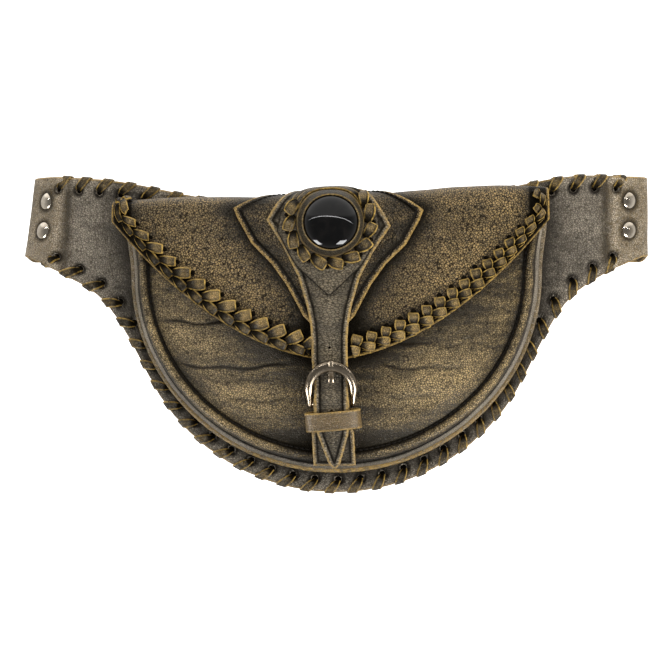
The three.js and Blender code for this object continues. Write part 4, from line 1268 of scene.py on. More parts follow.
# %% [markdown]
# ## Kite, strap and patch
# Three layers lie on the flap: a kite-shaped piece, the strap's own broad head, and a patch
# under the stone whose point makes the V line. Each is a grid between an outline's two sides,
# lifted off the flap. Distance to the outline drives the rounded edge, the worn gold band along
# it and the pressed stitch line inside it.

# %% Layer maker
LIFTS = {"kite": (0.3, 1.9), "strap": (2.2, 4.0), "patch": (4.3, 5.3)}
STITCH_INSET = 3.1
EDGE_BAND = 1.6
ASKEW = {"from": -48.0, "to": -6.0, "kite": 0.02, "strap": 0.055}


def outline_half(rows, up):
    table = np.array(rows, float)
    return np.interp(up, table[:, 0], table[:, 1])


def askew(x, up, lean):
    """Where a row comes to lie when the upper part of its layer is sewn on a little askew."""
    return up - lean * smooth(up, ASKEW["from"], ASKEW["to"]) * x


def edge_dye(distance, stitch=STITCH_INSET):
    """Gold along a cut edge, then a dark pressed line where the stitches run."""
    inside = trail_off(distance - stitch, 5.0) * smooth(distance, stitch - 0.5, stitch)
    return {
        "dark": bell(distance, stitch, 0.6) + 0.6 * inside,
        "rub": 0.5 * (1 - smooth(distance, 1, 2.6)),
        "raw": 0.85 * (1 - smooth(distance, EDGE_BAND * 0.6, EDGE_BAND)),
    }


def patch_dye(distance):
    """The patch is sewn flush, so its edge shows as a dark line alone."""
    return {"dark": 0.15 + 0.85 * bell(distance, 0, 0.8)}


def stitch_press(distance):
    """How deep the stitch line is pressed into a layer."""
    return 0.3 * bell(distance, STITCH_INSET, 0.8)


def layer_grid(rows, columns, lines):
    low, high = rows[0][0], rows[-1][0]
    knots = low + (high - low) * (edge_spread(lines) + 1) / 2
    knots = np.concatenate([knots, [up for up, _ in rows]])
    up = np.unique(np.round(knots, 3))[None, :]
    share = edge_spread(columns)[:, None]
    return share * outline_half(rows, up), up + 0 * share


def make_layer(name, rows, lifts, material, columns, lines, dye_of, lean=0.0):
    x, up = layer_grid(rows, columns, lines)
    distance = line_distance(np.stack([x, up], axis=-1), outline_line(rows))
    middle, half = (lifts[0] + lifts[1]) / 2, (lifts[1] - lifts[0]) / 2
    full = round_off(distance, 1.0)
    up = askew(x, up, lean)
    outer = flap_point(x, up, middle + half * full - stitch_press(distance))
    inner = flap_point(x, up, middle - half * full)
    return make_sheet(name, outer, inner, dye_of(distance), material)


kite_hide = make_layer("kite_hide", KITE, LIFTS["kite"], hide_flap, 90, 110, edge_dye,
                       lean=ASKEW["kite"])
v_patch = make_layer("v_patch", PATCH, LIFTS["patch"], hide_strap, 60, 70, patch_dye)
dress(kite_hide, "flap_leather", "kite", drift=DRIFT + KITE_DRIFT)
dress(v_patch, "strap_leather", "stone_patch", drift=DRIFT + STRAP_SHIFT)

# %% [markdown]
# ## The strap through the buckle
# Below its head the strap narrows, passes behind the top of the buckle frame, over the bar and
# down through the keeper to a pointed tip. Its tail is a path seen from the side with a width at
# each row; the head carries the same rows on over the flap, so the strap is one sheet. The
# punch tree then cuts its buckle holes.

# %% Ramp and strap formulas
RAMP = {"forward": 27.4, "height": -139.0, "tilt": math.radians(21.16)}
LEAN = {"from": -109.0, "slope": 0.045}
STRAP_TAIL = [  # forward, height, half width
    (40.2, -101, 9.6), (37.9, -94.5, 9.6), (38.1, -88, 10), (38.6, -81, 10.2), (39.7, -71, 10.2),
    (41, -62.5, 10.8),
]
STRAP_RAMP = [(-5.6, 0.8), (-2.4, 3.3), (15.9, 8.8), (22.3, 9.6), (35, 9.6)]  # up, half width
STRAP_RAMP_LIFT = 2.3
STRAP_HALF_THICK = 0.9
STRAP_LIFT = sum(LIFTS["strap"]) / 2
STRAP_HOLES = np.array([-76.0, -94.5, -111.6])
STRAP_DRILL = {"forward": 40.0, "radius": 0.8, "depth": 14.0}
ACROSS = (1.0, 0.0, 0.0)
FORWARD = (0.0, -1.0, 0.0)


def ramp_point(x, up, lift):
    """A place on the slope of the buckle strap: across, up along it and in front of it."""
    sine, cosine = math.sin(RAMP["tilt"]), math.cos(RAMP["tilt"])
    forward = RAMP["forward"] + up * sine + lift * cosine
    return place(x, forward, RAMP["height"] + up * cosine - lift * sine)


def lean_by(height):
    return LEAN["slope"] * np.maximum(0, LEAN["from"] - height)


def strap_middle(height):
    return lean_by(height) + STRAP_SHIFT * smooth(height, -98, -80)


def strap_spine():
    """Side view of the whole strap with its half width: tail, then the head on the flap."""
    ramp_rows = np.array(STRAP_RAMP, float)
    low = ramp_point(0.0, ramp_rows[:, 0], STRAP_RAMP_LIFT)
    tail = np.vstack([np.column_stack([-low[:, 1], low[:, 2], ramp_rows[:, 1]]), STRAP_TAIL])
    head_up = np.array([row[0] for row in STRAP_HEAD], float)
    ups = np.unique(np.concatenate([head_up, np.linspace(head_up[0], head_up[-1], 60)]))
    head = flap_point(0.0, ups, STRAP_LIFT)
    return tail, ups, head


def make_strap():
    tail, ups, head = strap_spine()
    fine = even(tail, 110)
    fine[:, :2] = relax(fine[:, :2], 6)
    n = len(fine)
    normal = left_normals(fine[:, :2])
    share = edge_spread(46)[:, None]
    half = np.concatenate([fine[:, 2], outline_half(STRAP_HEAD, ups)])
    across = share * half
    run = run_along(fine[:, :2])
    joint = run[-1] + np.hypot(*(np.array([-head[0, 1], head[0, 2]]) - fine[-1, :2]))
    length = np.concatenate([run, joint + (ups - ups[0])])
    flat = np.stack(np.broadcast_arrays(across, length), axis=-1)
    distance = line_distance(flat, outline_line(np.column_stack([length, half])))
    full = round_off(distance, 0.9)
    cups = 0.25 * np.cos(share * math.pi / 2)

    def face(side):
        offset = STRAP_HALF_THICK * full * side - (stitch_press(distance) if side > 0 else 0)
        forward = fine[:, 0] - (offset[:, :n] + cups) * normal[:, 0]
        height = fine[:, 1] - (offset[:, :n] + cups) * normal[:, 1]
        low = place(across[:, :n] + strap_middle(height), forward, height)
        head_up = askew(across[:, n:], ups, ASKEW["strap"])
        high = flap_point(across[:, n:] + STRAP_SHIFT, head_up, STRAP_LIFT + offset[:, n:])
        return np.concatenate([low, high], axis=1)

    sheet = make_sheet("strap_uncut", face(1), face(-1), edge_dye(distance), hide_strap)
    spots = place(strap_middle(STRAP_HOLES), STRAP_DRILL["forward"], STRAP_HOLES)
    return punched("buckled_strap", sheet, spots, ACROSS, FORWARD, STRAP_DRILL["radius"],
                   STRAP_DRILL["depth"], hide_strap)


dress(make_strap(), "strap_leather", "strap", drift=DRIFT)

# %% [markdown]
# ## The stone and its leather setting
# The stone is a low black dome that leans back a little. A thin leather collar is pulled up
# round it and a thong is plaited round the collar. The collar starts on the curved flap and
# ends on the stone's own plane, so its grid blends from one to the other.

# %% Stone seat
STONE = {"radius": 15.5, "girdle": 2.2, "dome": 7.5, "up": -6.0, "tilt": math.radians(8)}
STONE_SHIFT = {"right": 0.5, "down": 1.2}
STONE_SIDES, COLLAR_SIDES = 72, 120
stone_face = np.array([0, -math.cos(STONE["tilt"]), math.sin(STONE["tilt"])])
stone_up = np.array([0, math.sin(STONE["tilt"]), math.cos(STONE["tilt"])])


def stone_seat():
    start = flap_face(0.0, STONE["up"])
    grid = np.linspace(-STONE["radius"], STONE["radius"], 9)
    x, up = np.meshgrid(grid, grid + STONE["up"])
    over = flap_face(x, up) + flap_normal(x, up) * LIFTS["patch"][1]
    seat = start + stone_face * (((over - start) @ stone_face).max() + 0.3)
    return seat + np.array(ACROSS) * STONE_SHIFT["right"] - stone_up * STONE_SHIFT["down"]


seat = stone_seat()


def seat_point(radius, turn, lift):
    radius, turn, lift = (v[..., None] for v in np.broadcast_arrays(radius, turn, lift))
    flat = np.array(ACROSS) * radius * np.cos(turn) + stone_up * radius * np.sin(turn)
    return seat + flat + stone_face * lift


def draped_point(radius, turn, lift):
    return flap_point(radius * np.cos(turn), STONE["up"] + radius * np.sin(turn), lift)


# %% Stone and collar


def make_stone():
    crown = np.linspace(0, math.pi / 2, 26)
    profile = [(0, 0), (14.9, 0), (15.3, 0.2), (15.5, 0.7)]
    profile += [(STONE["radius"] * math.cos(t), STONE["girdle"] + STONE["dome"] * math.sin(t))
                for t in crown[:-1]]
    rows = np.array(profile + [(0, STONE["girdle"] + STONE["dome"])])
    turn = np.linspace(0, 2 * math.pi, STONE_SIDES, endpoint=False)[:, None]
    points = seat_point(rows[:, 0], turn, rows[:, 1])
    faces = grid_faces(STONE_SIDES, len(rows), ring=True)
    return make_piece("cabochon", points, faces, {}, stone_black)


COLLAR_ROWS = [  # share from the flap to the stone, radius, lift
    (0.0, 18.9, 0.3), (0.12, 18.7, 0.9), (0.45, 18.2, 1.7), (0.8, 17.4, 2.7), (1.0, 16.5, 4.0),
    (1.0, 15.9, 4.4), (1.0, 15.5, 4.0), (1.0, 15.45, 3.4), (0.9, 15.8, 2.4), (0.5, 16.5, 1.2),
    (0.1, 17.2, 0.4), (0.0, 17.4, 0.3),
]


def make_collar():
    rows = catmull(COLLAR_ROWS + COLLAR_ROWS[:1], 46)[:-1]
    turn = np.linspace(0, 2 * math.pi, COLLAR_SIDES, endpoint=False)[:, None]
    radius = rows[:, 1] + 0.18 * np.sin(7 * turn) * (1 - rows[:, 0])
    base = draped_point(radius, turn, LIFTS["patch"][1] + np.maximum(rows[:, 2], 0.3))
    top = seat_point(radius, turn, rows[:, 2])
    points = base + (top - base) * np.clip(rows[:, 0], 0, 1)[:, None]
    points = np.concatenate([points, points[:, :1]], axis=1)
    lip = bell(rows[:, 1], 15.8, 0.35) * (rows[:, 2] > 3.3)
    foot = bell(rows[:, 2], 1.0, 0.45) * (rows[:, 1] > 17.5)
    shades = {"raw": 0.9 * np.maximum(lip, 0.8 * foot), "dark": 0.68 * (1 - lip) * (1 - foot),
              "rub": np.full(len(rows), 0.2)}
    shades = {key: np.tile(np.append(value, value[0]), COLLAR_SIDES)
              for key, value in shades.items()}
    faces = grid_faces(COLLAR_SIDES, len(rows) + 1, ring=True)
    return make_piece("stone_rim", points, faces, shades, hide_strap)


dress(make_stone(), "stone", "stone", drift=DRIFT)
dress(make_collar(), "strap_leather", "stone_collar", drift=DRIFT)

# %% [markdown]
# ## Plaits
# The flap's border and the ring round the stone are plaited from the same flat thong. Where a
# strand shows it is a short arched tongue: tucked under its neighbour at one end and diving
# into a hole at the other, with painted shade at both ends and along its lower side and a
# painted highlight on its crown. The flap's plait has a tongue towards the bag and one towards
# the edge at each step, like a row of chevrons, with a dark lens of painted shade for the hole
# at the inner end. On the right a third, narrow tongue shows along the edge.

# %% Plait tongues
TONGUE_GRID = (13, 9)


def tongue(start, end, width, low, high, thick=1.25, ends=(0.9, 0.5), darkening=0.0):
    """Points and faces of one arched strand from start to end, both as along and across."""
    start, end = np.array(start, float), np.array(end, float)
    run = end - start
    length = np.linalg.norm(run)
    run = run / length
    side = np.array([-run[1], run[0]])
    u = (edge_spread(TONGUE_GRID[0]) + 1)[:, None] / 2
    v = edge_spread(TONGUE_GRID[1])[None, :]
    taper = (1 - 0.16 * (2 * u - 1) ** 4) * (0.62 + 0.38 * smooth(u, 0, 0.6))
    flat = start + run * (u * length)[..., None] + side * (v * width / 2 * taper)[..., None]
    arch = low + (high - low) * np.sin(math.pi * np.clip(0.1 + 0.8 * u, 0, 1)) - 0.35 * v**2
    arch = arch - ends[0] * (1 - smooth(u, 0, 0.25)) - ends[1] * smooth(u, 0.75, 1)
    distance = np.minimum((1 - np.abs(v)) * width / 2, np.minimum(u, 1 - u) * length)
    full = round_off(distance, 0.7) * thick / 2
    top = np.concatenate([flat, (arch + full)[..., None]], axis=-1)
    bottom = np.concatenate([flat, (arch - full)[..., None]], axis=-1)
    faces = grid_faces(*TONGUE_GRID)
    points = np.vstack([top.reshape(-1, 3), bottom.reshape(-1, 3)])
    faces = np.vstack([faces, faces[:, ::-1] + len(points) // 2])
    raw = 0.95 * (1 - smooth(distance, 0.25, 0.7)) * smooth(u, 0.1, 0.3)
    # Painted shade where the tongue tucks under its neighbour, where it dives into its hole and
    # along its lower side; painted highlight on the crown of its arch.
    dark = darkening + 0.75 * (1 - smooth(u, 0.1, 0.62)) + 0.5 * smooth(u, 0.94, 1)
    dark = dark + 0.65 * smooth(-v, 0.3, 1)
    rub = 0.65 * bell(u, 0.64, 0.2) * (1 - 0.4 * v**2) * (1 - darkening)
    shades = {"raw": raw, "dark": dark, "rub": rub}
    return points, faces, {k: np.concatenate([s.reshape(-1)] * 2) for k, s in shades.items()}


def join_parts(name, parts):
    """One step of a plait from the points, faces and shades of its strands and hole."""
    points, faces, shades = zip(*parts)
    starts = np.cumsum([0] + [len(part) for part in points])
    faces = np.vstack([part + start for part, start in zip(faces, starts)])
    joined = {key: np.concatenate([shade.get(key, np.zeros(len(part)))
                                   for shade, part in zip(shades, points)])
              for key in ("raw", "dark", "rub")}
    return make_piece(name, np.vstack(points), faces, joined, hide_thong)


# %% Flap plait
BRAID = {"start": 12.4, "inset": 6.7, "lift": 0.1, "first": 3.5, "pitch": {-1: 10.5, 1: 8.8}}
BRAID_NARROW = {"by": 0.36, "from": -48.0, "to": 0.0}  # up the flap, towards its roll
BRAID_DARKEN = {"by": 0.25, "from": 55.0, "to": 95.0}  # across the flap, towards its sides
plait_steps = {
    -1: join_parts("plait_step_left", [
        tongue((-4.8, -1.4), (4.1, 5.6), 6.8, 1.0, 2.5, ends=(1.3, 0.3)),
        tongue((-2.6, -2.2), (7.9, -3.9), 5.6, 0.6, 1.8, ends=(0.8, 0.6), darkening=0.35),
        dark_hole(4.8, 6.3, 1.4, 0.35),
    ]),
    1: join_parts("plait_step_right", [
        tongue((-1.5, -1.4), (1.9, 4.9), 6.4, 0.8, 2.1, ends=(1.2, 0.4), darkening=0.1),
        tongue((-7.2, -0.4), (0.8, -4.0), 5.5, 1.0, 2.5, ends=(0.9, 0.7)),
        tongue((-7.6, -4.5), (-2.0, -5.6), 2.7, 0.2, 0.6, ends=(0.3, 0.3), darkening=0.35),
        dark_hole(2.4, 5.5, 1.5, 0.35),
    ]),
}


def plait_line(top):
    """Middle of the plait on the right half: along the flap's edge, then up its side."""
    x = np.linspace(BRAID["start"], FLAP["half"] - 8, 10)
    slope = FLAP_EDGE["slope"] + 2 * FLAP_EDGE["curve"] * x
    inward = unit(np.stack([-slope, np.ones_like(x)], axis=-1)) * BRAID["inset"]
    run = np.stack([x, flap_edge(x)], axis=-1) + inward
    rise = np.array([(FLAP["half"] - 6.2, up) for up in (1, (1 + top) / 2, top)])
    return catmull(np.vstack([run, rise]), 220)


def plait(name, side, node, seed):
    flat = plait_line(PLAIT_TOP[side])
    if side < 0:
        flat = flat[::-1] * np.array([-1, 1])
    length = run_along(flat)[-1]
    ahead = flat + 0.5 * left_normals(flat)
    spots = flap_point(*flat.T, BRAID["lift"])
    across = unit(flap_point(*ahead.T, BRAID["lift"]) - spots)
    across *= 1 - BRAID_NARROW["by"] * smooth(flat[:, 1:], BRAID_NARROW["from"], BRAID_NARROW["to"])
    count = int((length - 8) // BRAID["pitch"][side])
    made = lay(name, plait_steps[side], spots, across, flap_normal(*flat.T), count + 1,
               BRAID["first"], (length - 10) / count, hide_thong, jitter=0.07, seed=seed)
    darkening = made.data.attributes["dark"].data
    dark = np.empty(len(darkening))
    darkening.foreach_get("value", dark)
    reach = np.abs(mesh_points(made)[:, 0])
    dark += BRAID_DARKEN["by"] * smooth(reach, BRAID_DARKEN["from"], BRAID_DARKEN["to"])
    darkening.foreach_set("value", dark)
    dress(made, "lace_leather", node, drift=DRIFT)


plait("flap_plait_left", -1, "flap_braid_left", 5)
plait("flap_plait_right", 1, "flap_braid_right", 6)
for step in plait_steps.values():
    bpy.data.objects.remove(step)

# %% Ring round the stone
RING = {"radius": 22.3, "pitch": 9.2, "first": 3.4, "lift": 0.45, "from": 148, "to": 402}
RING_STRANDS = [(20.4, 0.9, 22, 158), (23.0, 0.3, 34, 150)]  # radius, lift, start, end (degrees)
RING_STRAND = {"wide": 3.1, "thick": 1.3, "points": 40}
ring_step = join_parts("ring_step", [
    tongue((-3.6, 2.0), (5.9, -2.1), 6.6, 0.6, 1.5, thick=1.2, ends=(0.8, 0.1), darkening=0.15),
    dark_hole(6.4, -2.2, 1.2, 0.35),
])


def ring_path(radius, start, end, count):
    """A round path on the patch, with its inward side and its face direction."""
    turn = np.radians(np.linspace(start, end, count))
    level = LIFTS["patch"][1] + RING["lift"]
    spots = draped_point(radius, turn, level)
    inner = draped_point(radius - 0.5, turn, level)
    face = flap_normal(radius * np.cos(turn), STONE["up"] + radius * np.sin(turn))
    return spots, unit(inner - spots), face


def make_ring():
    """Short wraps round the sides and bottom, and two long strands over the top."""
    spots, side, face = ring_path(RING["radius"], RING["from"], RING["to"], 240)
    length = run_along(spots)[-1]
    count = int(length // RING["pitch"])
    strands = [lay("ring_wraps", ring_step, spots, side, face, count, RING["first"], length / count,
                   hide_thong, jitter=0.06, seed=9)]
    n = RING_STRAND["points"]
    for radius, lift, start, end in RING_STRANDS:
        line, _, up = ring_path(radius, start, end, n)
        rise = np.sin(np.linspace(0, math.pi, n))[:, None] ** 0.5
        strands.append(ribbon("ring_strand", line + up * lift * rise, up,
                              np.full(n, RING_STRAND["wide"]), RING_STRAND["thick"], hide_thong,
                              steps=60))
    return merge("stone_plait", strands)


dress(make_ring(), "lace_leather", "stone_braid", drift=DRIFT)
bpy.data.objects.remove(ring_step)

# %% [markdown]
# ## Buckle, its strap and the keeper
# The buckle is a nickel horseshoe on a bar. A short strap runs up from the pouch rim, round the
# bar and back down behind itself, and a leather keeper goes round both straps. The frame and
# the tongue are swept sections, the straps are sheets along a side-view path.

# %% Buckle strap
BUCKLE_STRAP = {"half_thick": 0.9, "end": -4.8, "bend": 2.75, "bar": 32.7}
BUCKLE_STRAP_HALF = [(-4.8, 12), (15, 12), (26, 10.1)]  # up, half width
TONGUE_SLOT = {"forward": (0.0, 1.5, 3.0), "up": (3.2, 1.8, -1.0), "face": (0.0, -0.6, 0.8),
               "radius": 2.1, "depth": 9.0}
bar_place = ramp_point(0.0, BUCKLE_STRAP["bar"], -BUCKLE_STRAP["bend"])


def make_chape():
    bar, bend = BUCKLE_STRAP["bar"], BUCKLE_STRAP["bend"]
    turns = np.radians(np.linspace(90, -125, 22))
    rise = [(up, 0.0) for up in np.linspace(BUCKLE_STRAP["end"], bar, 40, endpoint=False)]
    fold = [(bar + bend * math.cos(t), bend * math.sin(t) - bend) for t in turns]
    line = relax(even(np.array(rise + fold + [(28, -2.1), (20.7, -2.1)]), 120), 2)
    normal = left_normals(line)
    half = outline_half(BUCKLE_STRAP_HALF, line[:, 0])
    share = edge_spread(30)[:, None]
    run = even_run(line)
    distance = np.minimum((1 - np.abs(share)) * half, np.minimum(run, run[-1] - run))
    full = round_off(distance, 0.8)

    def face(side):
        shift = (BUCKLE_STRAP["half_thick"] * full * side)[..., None] * normal
        spots = ramp_point(share * half, line[:, 0] + shift[..., 0], line[:, 1] + shift[..., 1])
        spots[..., 0] += lean_by(spots[..., 2])
        return spots

    shades = edge_dye(distance, stitch=2.6)
    sheet = make_sheet("chape_uncut", face(1), face(-1), shades, hide_strap)
    slot = place(0.0, np.array(TONGUE_SLOT["forward"]) - bar_place[1],
                 np.array(TONGUE_SLOT["up"]) + bar_place[2])
    return punched("chape", sheet, slot, ACROSS, TONGUE_SLOT["face"], TONGUE_SLOT["radius"],
                   TONGUE_SLOT["depth"], hide_strap)


dress(make_chape(), "strap_leather", "buckle_strap", drift=DRIFT)

# %% Buckle frame and tongue
BUCKLE = {"bar": 1.5, "tilt": math.radians(20), "end_half": 12.0, "half": 12.6, "straight": 8.8,
          "rise": 13.6}
BAND = {"end": 2.6, "side": 5.0, "top": 6.4, "depth": 4.4}


def tilted(points, turn, origin):
    """Leans points back about the X axis and sets them at an origin."""
    sine, cosine = math.sin(turn), math.cos(turn)
    y = points[..., 1] * cosine - points[..., 2] * sine
    z = points[..., 1] * sine + points[..., 2] * cosine
    return np.stack([points[..., 0], y, z], axis=-1) + origin


def make_buckle():
    turn = np.linspace(math.pi, 0, 44)
    arch = np.column_stack([BUCKLE["half"] * np.cos(turn),
                            BUCKLE["straight"] + BUCKLE["rise"] * np.sin(turn)])
    arch_wide = BAND["side"] + (BAND["top"] - BAND["side"]) * np.sin(turn) ** 2
    leg_share = np.linspace(0, 1, 10, endpoint=False)
    leg_x = -(BUCKLE["end_half"] + (BUCKLE["half"] - BUCKLE["end_half"]) * leg_share)
    leg_z = -BUCKLE["bar"] + (BUCKLE["straight"] + BUCKLE["bar"]) * leg_share
    leg = np.stack([leg_x, leg_z], axis=-1)
    leg_wide = BAND["end"] + (BAND["side"] - BAND["end"]) * leg_share
    line = np.vstack([leg, arch, leg[::-1] * np.array([-1, 1])])
    wide = np.concatenate([leg_wide, arch_wide, leg_wide[::-1]])
    normal = left_normals(line)
    around = np.linspace(0, 2 * math.pi, 18, endpoint=False)
    cross, deep = np.cos(around), np.sin(around)
    spots = line[:, None] + normal[:, None] * (cross[:, None] * wide[:, None, None] / 2)
    bow = place(spots[..., 0], deep * BAND["depth"] / 2, spots[..., 1])
    bar_x = np.linspace(-BUCKLE["end_half"], BUCKLE["end_half"], 9)[:, None]
    bar = place(bar_x, BUCKLE["bar"] * cross, BUCKLE["bar"] * deep)
    return merge("buckle_horseshoe", [
        make_bar("buckle_part", tilted(points, BUCKLE["tilt"], bar_place), {}, nickel)
        for points in (bow, bar)])


PRONG = {"wide": 3.5, "thick": 1.6, "bend": 2.6}
PRONG_PATH = [(38.2, -97.4), (39.6, -93.6), (44.2, -88.6), (47.9, -83.2)]


def make_prong():
    turns = np.linspace(math.radians(80) - 2 * math.pi, 0, 22)
    hook = np.column_stack([PRONG["bend"] * np.cos(turns) - bar_place[1],
                            PRONG["bend"] * np.sin(turns) + bar_place[2]])
    line = relax(even(np.vstack([hook, PRONG_PATH]), 90), 4)
    normal = left_normals(line)
    around = np.linspace(0, 2 * math.pi, 14, endpoint=False)
    cross = np.sign(np.cos(around)) * np.abs(np.cos(around)) ** 0.6 * PRONG["wide"] / 2
    deep = np.sign(np.sin(around)) * np.abs(np.sin(around)) ** 0.7 * PRONG["thick"] / 2
    taper = 1 - 0.18 * smooth(np.arange(90), 55, 88)[:, None]
    spots = line[:, None] + normal[:, None] * deep[:, None]
    points = place(cross * taper, spots[..., 0], spots[..., 1])
    return make_bar("buckle_tongue", points, {}, nickel)


dress(make_buckle(), "nickel", "buckle_frame", drift=DRIFT)
dress(make_prong(), "nickel", "buckle_prong", drift=DRIFT)

# %% Keeper
KEEPER = {"up": 24.7, "shear": 0.28, "tall": 11.8, "half": 14.4, "wall": 1.5, "front": 4.0,
          "rear": -3.5, "bow": 0.62, "roll": math.radians(-5), "right": 0.9}


def bowed(values):
    """Rounds a circle's sine or cosine out towards a square."""
    return np.sign(values) * np.abs(values) ** KEEPER["bow"]


def make_keeper():
    reach = KEEPER["half"] + KEEPER["wall"] / 2
    front, rear = KEEPER["front"] + KEEPER["wall"] / 2, KEEPER["rear"] - KEEPER["wall"] / 2
    turn = np.linspace(0, 2 * math.pi, 400)
    across = reach * bowed(np.cos(turn))
    deep = np.where(np.sin(turn) > 0, front, -rear) * bowed(np.sin(turn))
    line = even(np.stack([across, deep], axis=-1), 97)[:-1]
    line[:, 1] += 0.5 * bell(line[:, 0], 0, 9.0) * (line[:, 1] > 0)
    run = np.roll(line, -1, axis=0) - np.roll(line, 1, axis=0)
    normal = unit(np.stack([run[:, 1], -run[:, 0]], axis=-1))
    level = edge_spread(26)
    distance = (1 - np.abs(level)) * KEEPER["tall"] / 2
    full = round_off(distance, 0.7) * KEEPER["wall"] / 2
    sine, cosine = math.sin(KEEPER["roll"]), math.cos(KEEPER["roll"])

    def face(side):
        spots = line[:, None] + normal[:, None] * (side * full[:, None])
        drop = KEEPER["shear"] * (spots[..., 1] - KEEPER["front"])
        x, z = spots[..., 0], level * KEEPER["tall"] / 2 + drop
        rolled = place(x * cosine + z * sine, spots[..., 1], z * cosine - x * sine)
        return tilted(rolled, RAMP["tilt"], ramp_point(0.0, KEEPER["up"], 0.0))

    shades = {"raw": 0.95 * (1 - smooth(distance, 0.5, 1.3)), "rub": 0.2,
              "dark": 0.25 * bell(distance, 2.2, 0.5)}
    return make_sheet("strap_keeper", face(1), face(-1), shades, hide_keeper, ring=True)


dress(make_keeper(), "strap_leather", "keeper", drift=DRIFT + KEEPER["right"])

# %% [markdown]
# ## Stitches
# Dark waxed thread runs in the pouch's groove, along the kite's two long sides, and on the back
# where the gusset's flange is sewn to the panel. One short stitch with a rounded section is laid
# along each of those lines by the path tree.

# %% Stitch shape and lines
STITCH = {"long": 2.5, "pitch": 3.3, "thick": 0.85, "flat": 0.8, "steps": 7}
SEAM_POINTS = 400
stitch_run = np.linspace(-STITCH["long"] / 2, STITCH["long"] / 2, STITCH["steps"])
stitch_spine = place(stitch_run, 0.0, 0.42 - 0.5 * (2 * stitch_run / STITCH["long"]) ** 4)
stitch_part = ribbon("stitch_part", stitch_spine, np.tile([0.0, 0, 1], (STITCH["steps"], 1)),
                     np.full(STITCH["steps"], STITCH["thick"]), STITCH["thick"] * STITCH["flat"],
                     thread, STITCH["steps"])


def sew(name, spots, across, face, seed):
    length = run_along(spots)[-1]
    count = int(length // STITCH["pitch"])
    face = np.broadcast_to(face, spots.shape)
    return lay(name, stitch_part, spots, across, face, count, STITCH["pitch"] / 2, length / count,
               thread, jitter=0.06, seed=seed)


def sew_groove():
    track = pouch_track(60, 300)
    narrow = rim_scale(track)
    line = profile_line(FRONT_PROFILE, 104, 5)
    low = line[(line[:, 0] > 9) & (line[:, 0] < 14)]
    depth = low[:, 1].min() + 0.1
    spots = pouch_point(track, GROOVE_INSET * narrow, depth)[:, 0]
    inner = pouch_point(track, (GROOVE_INSET + 1) * narrow, depth)[:, 0]
    spots, inner = even(spots, SEAM_POINTS), even(inner, SEAM_POINTS)
    return sew("groove_stitches", spots, unit(inner - spots), FORWARD, 51)


def sew_back():
    """Rear stitches where the gusset's flange is sewn to the panel."""
    track = pouch_track(60, 300)
    spots = pouch_point(track, 1.6, 0.0)[::-1, 0]
    inner = pouch_point(track, 2.6, 0.0)[::-1, 0]
    spots, inner = even(spots, SEAM_POINTS), even(inner, SEAM_POINTS)
    spots[:, 1] = -0.05
    return sew("back_stitches", spots, unit(inner - spots), (0.0, 1.0, 0.0), 52)


def inset_line(rows, inset):
    """The two long sides of a layer's outline, moved in to its stitch line."""
    up = np.linspace(rows[0][0] + inset * 1.6, rows[-1][0], 300)
    half = outline_half(rows, up)
    slope = np.gradient(half, up)
    return np.stack([half - inset * np.hypot(1, slope), up], axis=-1)


def sew_layer(name, rows, lift, seed):
    made = []
    for side in (-1, 1):
        flat = inset_line(rows, STITCH_INSET) * np.array([side, 1])
        flat = even(flat[np.abs(flat[:, 0]) > 2.0], 240)
        if side < 0:
            flat = flat[::-1]
        ahead = flat + 0.3 * left_normals(flat)
        spots = flap_point(*flat.T, lift)
        across = unit(flap_point(*ahead.T, lift) - spots)
        label = "left" if side < 0 else "right"
        made.append(sew(f"{name}_{label}", spots, across, flap_normal(*flat.T), seed + side))
    return made


for seam in (sew_groove(), sew_back()):
    dress(seam, "panel_leather")
for seam in sew_layer("kite_stitches", KITE, LIFTS["kite"][1] - 0.35, 61):
    dress(seam, "flap_leather", drift=DRIFT + KITE_DRIFT)
bpy.data.objects.remove(stitch_part)

# %% [markdown]
# ## Studio
# The bag hangs as it is worn, so the floor lies well below it. A wide pale bowl stands for floor
# and backdrop together and looks the same from every side. Four soft lights, from above, both
# sides and the front, shine on the leather alone. Three more are seen only in shiny surfaces: a
# thin strip draws the bright line across the stone, and two panels low down draw its lower gleams.

# %% Floor and backdrop
STAGE = {"floor": -0.42, "flat": 2.2, "curve": 1.4, "wall": 2.4, "sides": 64}  # metres


def make_stage():
    turn = np.linspace(0, math.pi / 2, 14)
    profile = [(0.0, 0.0), (STAGE["flat"], 0.0)]
    profile += [(STAGE["flat"] + STAGE["curve"] * math.sin(t), STAGE["curve"] * (1 - math.cos(t)))
                for t in turn[1:]]
    profile += [(STAGE["flat"] + STAGE["curve"], STAGE["wall"])]
    points, faces = turned(profile, STAGE["sides"])
    mesh = bpy.data.meshes.new("studio_bowl")
    mesh.from_pydata((points + (0, 0, STAGE["floor"])).tolist(), [], faces.tolist())
    mesh.polygons.foreach_set("use_smooth", np.ones(len(mesh.polygons), bool))
    material, tree, shader, spot = start_material("pale_paper")
    grain = noise_value(tree, spot, 40.0, 3.0)
    feed_all(tree, shader, {
        "Base Color": blend_colour(tree, grain, dye(250, 250, 249), dye(254, 254, 254)),
        "Roughness": 0.9,
        "Emission Color": (1, 1, 1, 1),
        "Emission Strength": 1.0,
    })
    mesh.materials.append(material)
    bowl = put_in_scene("studio_bowl", mesh)
    bowl.visible_diffuse = bowl.visible_glossy = bowl.visible_shadow = False


make_stage()

# %% Lights and camera


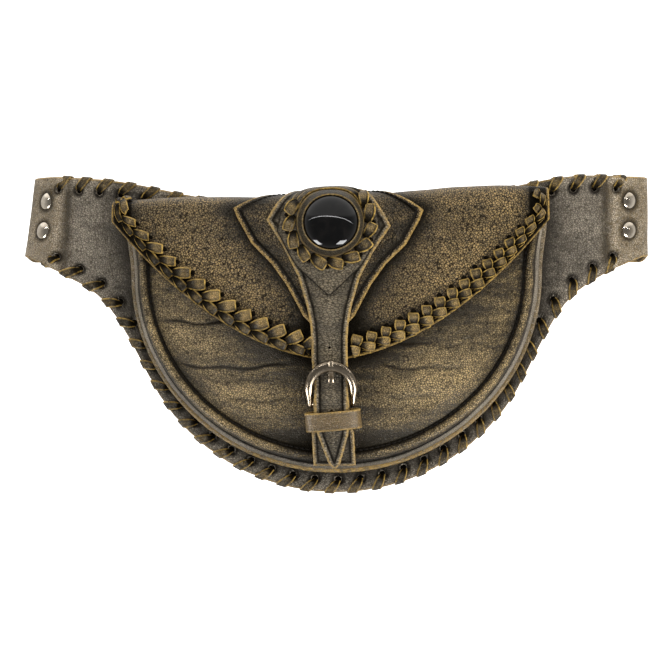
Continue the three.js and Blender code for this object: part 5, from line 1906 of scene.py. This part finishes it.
def area_light(name, only, location, target, size, power, roll=0.0):
    data = bpy.data.lights.new(name, "AREA")
    data.shape = "RECTANGLE"
    data.size, data.size_y = size
    data.energy = power
    light = put_in_scene(name, data)
    light.location = location
    aim = np.array(target) - np.array(location)
    turn = Vector(aim.tolist()).to_track_quat("-Z", "Y") @ Quaternion((0, 0, 1), roll)
    light.rotation_euler = turn.to_euler()
    light.visible_camera = False
    light.visible_diffuse, light.visible_glossy = only != "glossy", only != "diffuse"


def make_world():
    """A bright ceiling, a dark room in front and a paler one behind, by direction."""
    world = bpy.data.worlds.new("studio_air")
    world.use_nodes = True
    tree = world.node_tree
    look = add(tree, "ShaderNodeTexCoord").outputs["Generated"]
    axis = add(tree, "ShaderNodeSeparateXYZ", {0: look}).outputs
    ceiling = ramp(tree, axis["Z"], 0.38, 0.52, 0.0, 0.65)
    behind = ramp(tree, axis["Y"], -0.8, 0.3, 0.17, 0.65)
    ground = tree.nodes["Background"]
    tree.links.new(work_out(tree, "ADD", ceiling, behind), ground.inputs["Strength"])
    ground.inputs["Color"].default_value = (1.0, 0.985, 0.96, 1.0)
    bpy.context.scene.world = world


MIDDLE = (0.0, -0.02, -0.06)
STONE_SPOT = (-0.003, -0.045, -0.006)
area_light("ceiling_soft", "diffuse", (-0.2, -0.95, 1.5), MIDDLE, (2.6, 1.7), 16)
area_light("left_soft", "diffuse", (-1.4, -0.5, -0.3), MIDDLE, (0.4, 0.45), 12)
area_light("right_soft", "diffuse", (1.4, -0.5, -0.3), MIDDLE, (0.4, 0.45), 29)
area_light("front_fill", "diffuse", (0.0, -1.7, 0.3), MIDDLE, (1.2, 1.2), 8)
area_light("stone_strip", "glossy", (0.0, -0.95, 0.45), STONE_SPOT, (4.0, 0.012), 4.5, roll=-0.09)
area_light("stone_low_left", "glossy", (-0.31, -0.155, -0.378), STONE_SPOT, (0.22, 0.17), 2.0)
area_light("stone_low_right", "glossy", (0.245, -0.257, -0.387), STONE_SPOT, (0.26, 0.17), 2.3)
make_world()
bpy.context.scene.view_settings.view_transform = "Standard"

CAMERA = {"distance": 1.25, "focal_px": 2150.0, "frame_px": 660, "centre_px": (336.7, 319.2),
          "axis_height": -0.06, "sensor": 36.0, "yaw": math.radians(0.5),
          "roll": math.radians(0.35)}


def make_camera():
    data = bpy.data.cameras.new("front_view")
    data.sensor_width = CAMERA["sensor"]
    data.lens = CAMERA["focal_px"] / CAMERA["frame_px"] * data.sensor_width
    across, down = (centre / CAMERA["frame_px"] - 0.5 for centre in CAMERA["centre_px"])
    data.shift_x, data.shift_y = -across, down
    camera = put_in_scene("front_view", data)
    yaw, distance = CAMERA["yaw"], CAMERA["distance"]
    camera.location = (distance * math.sin(yaw), -distance * math.cos(yaw), CAMERA["axis_height"])
    camera.rotation_euler = (math.pi / 2, CAMERA["roll"], yaw)
    bpy.context.scene.camera = camera


make_camera()
print("studio ready")
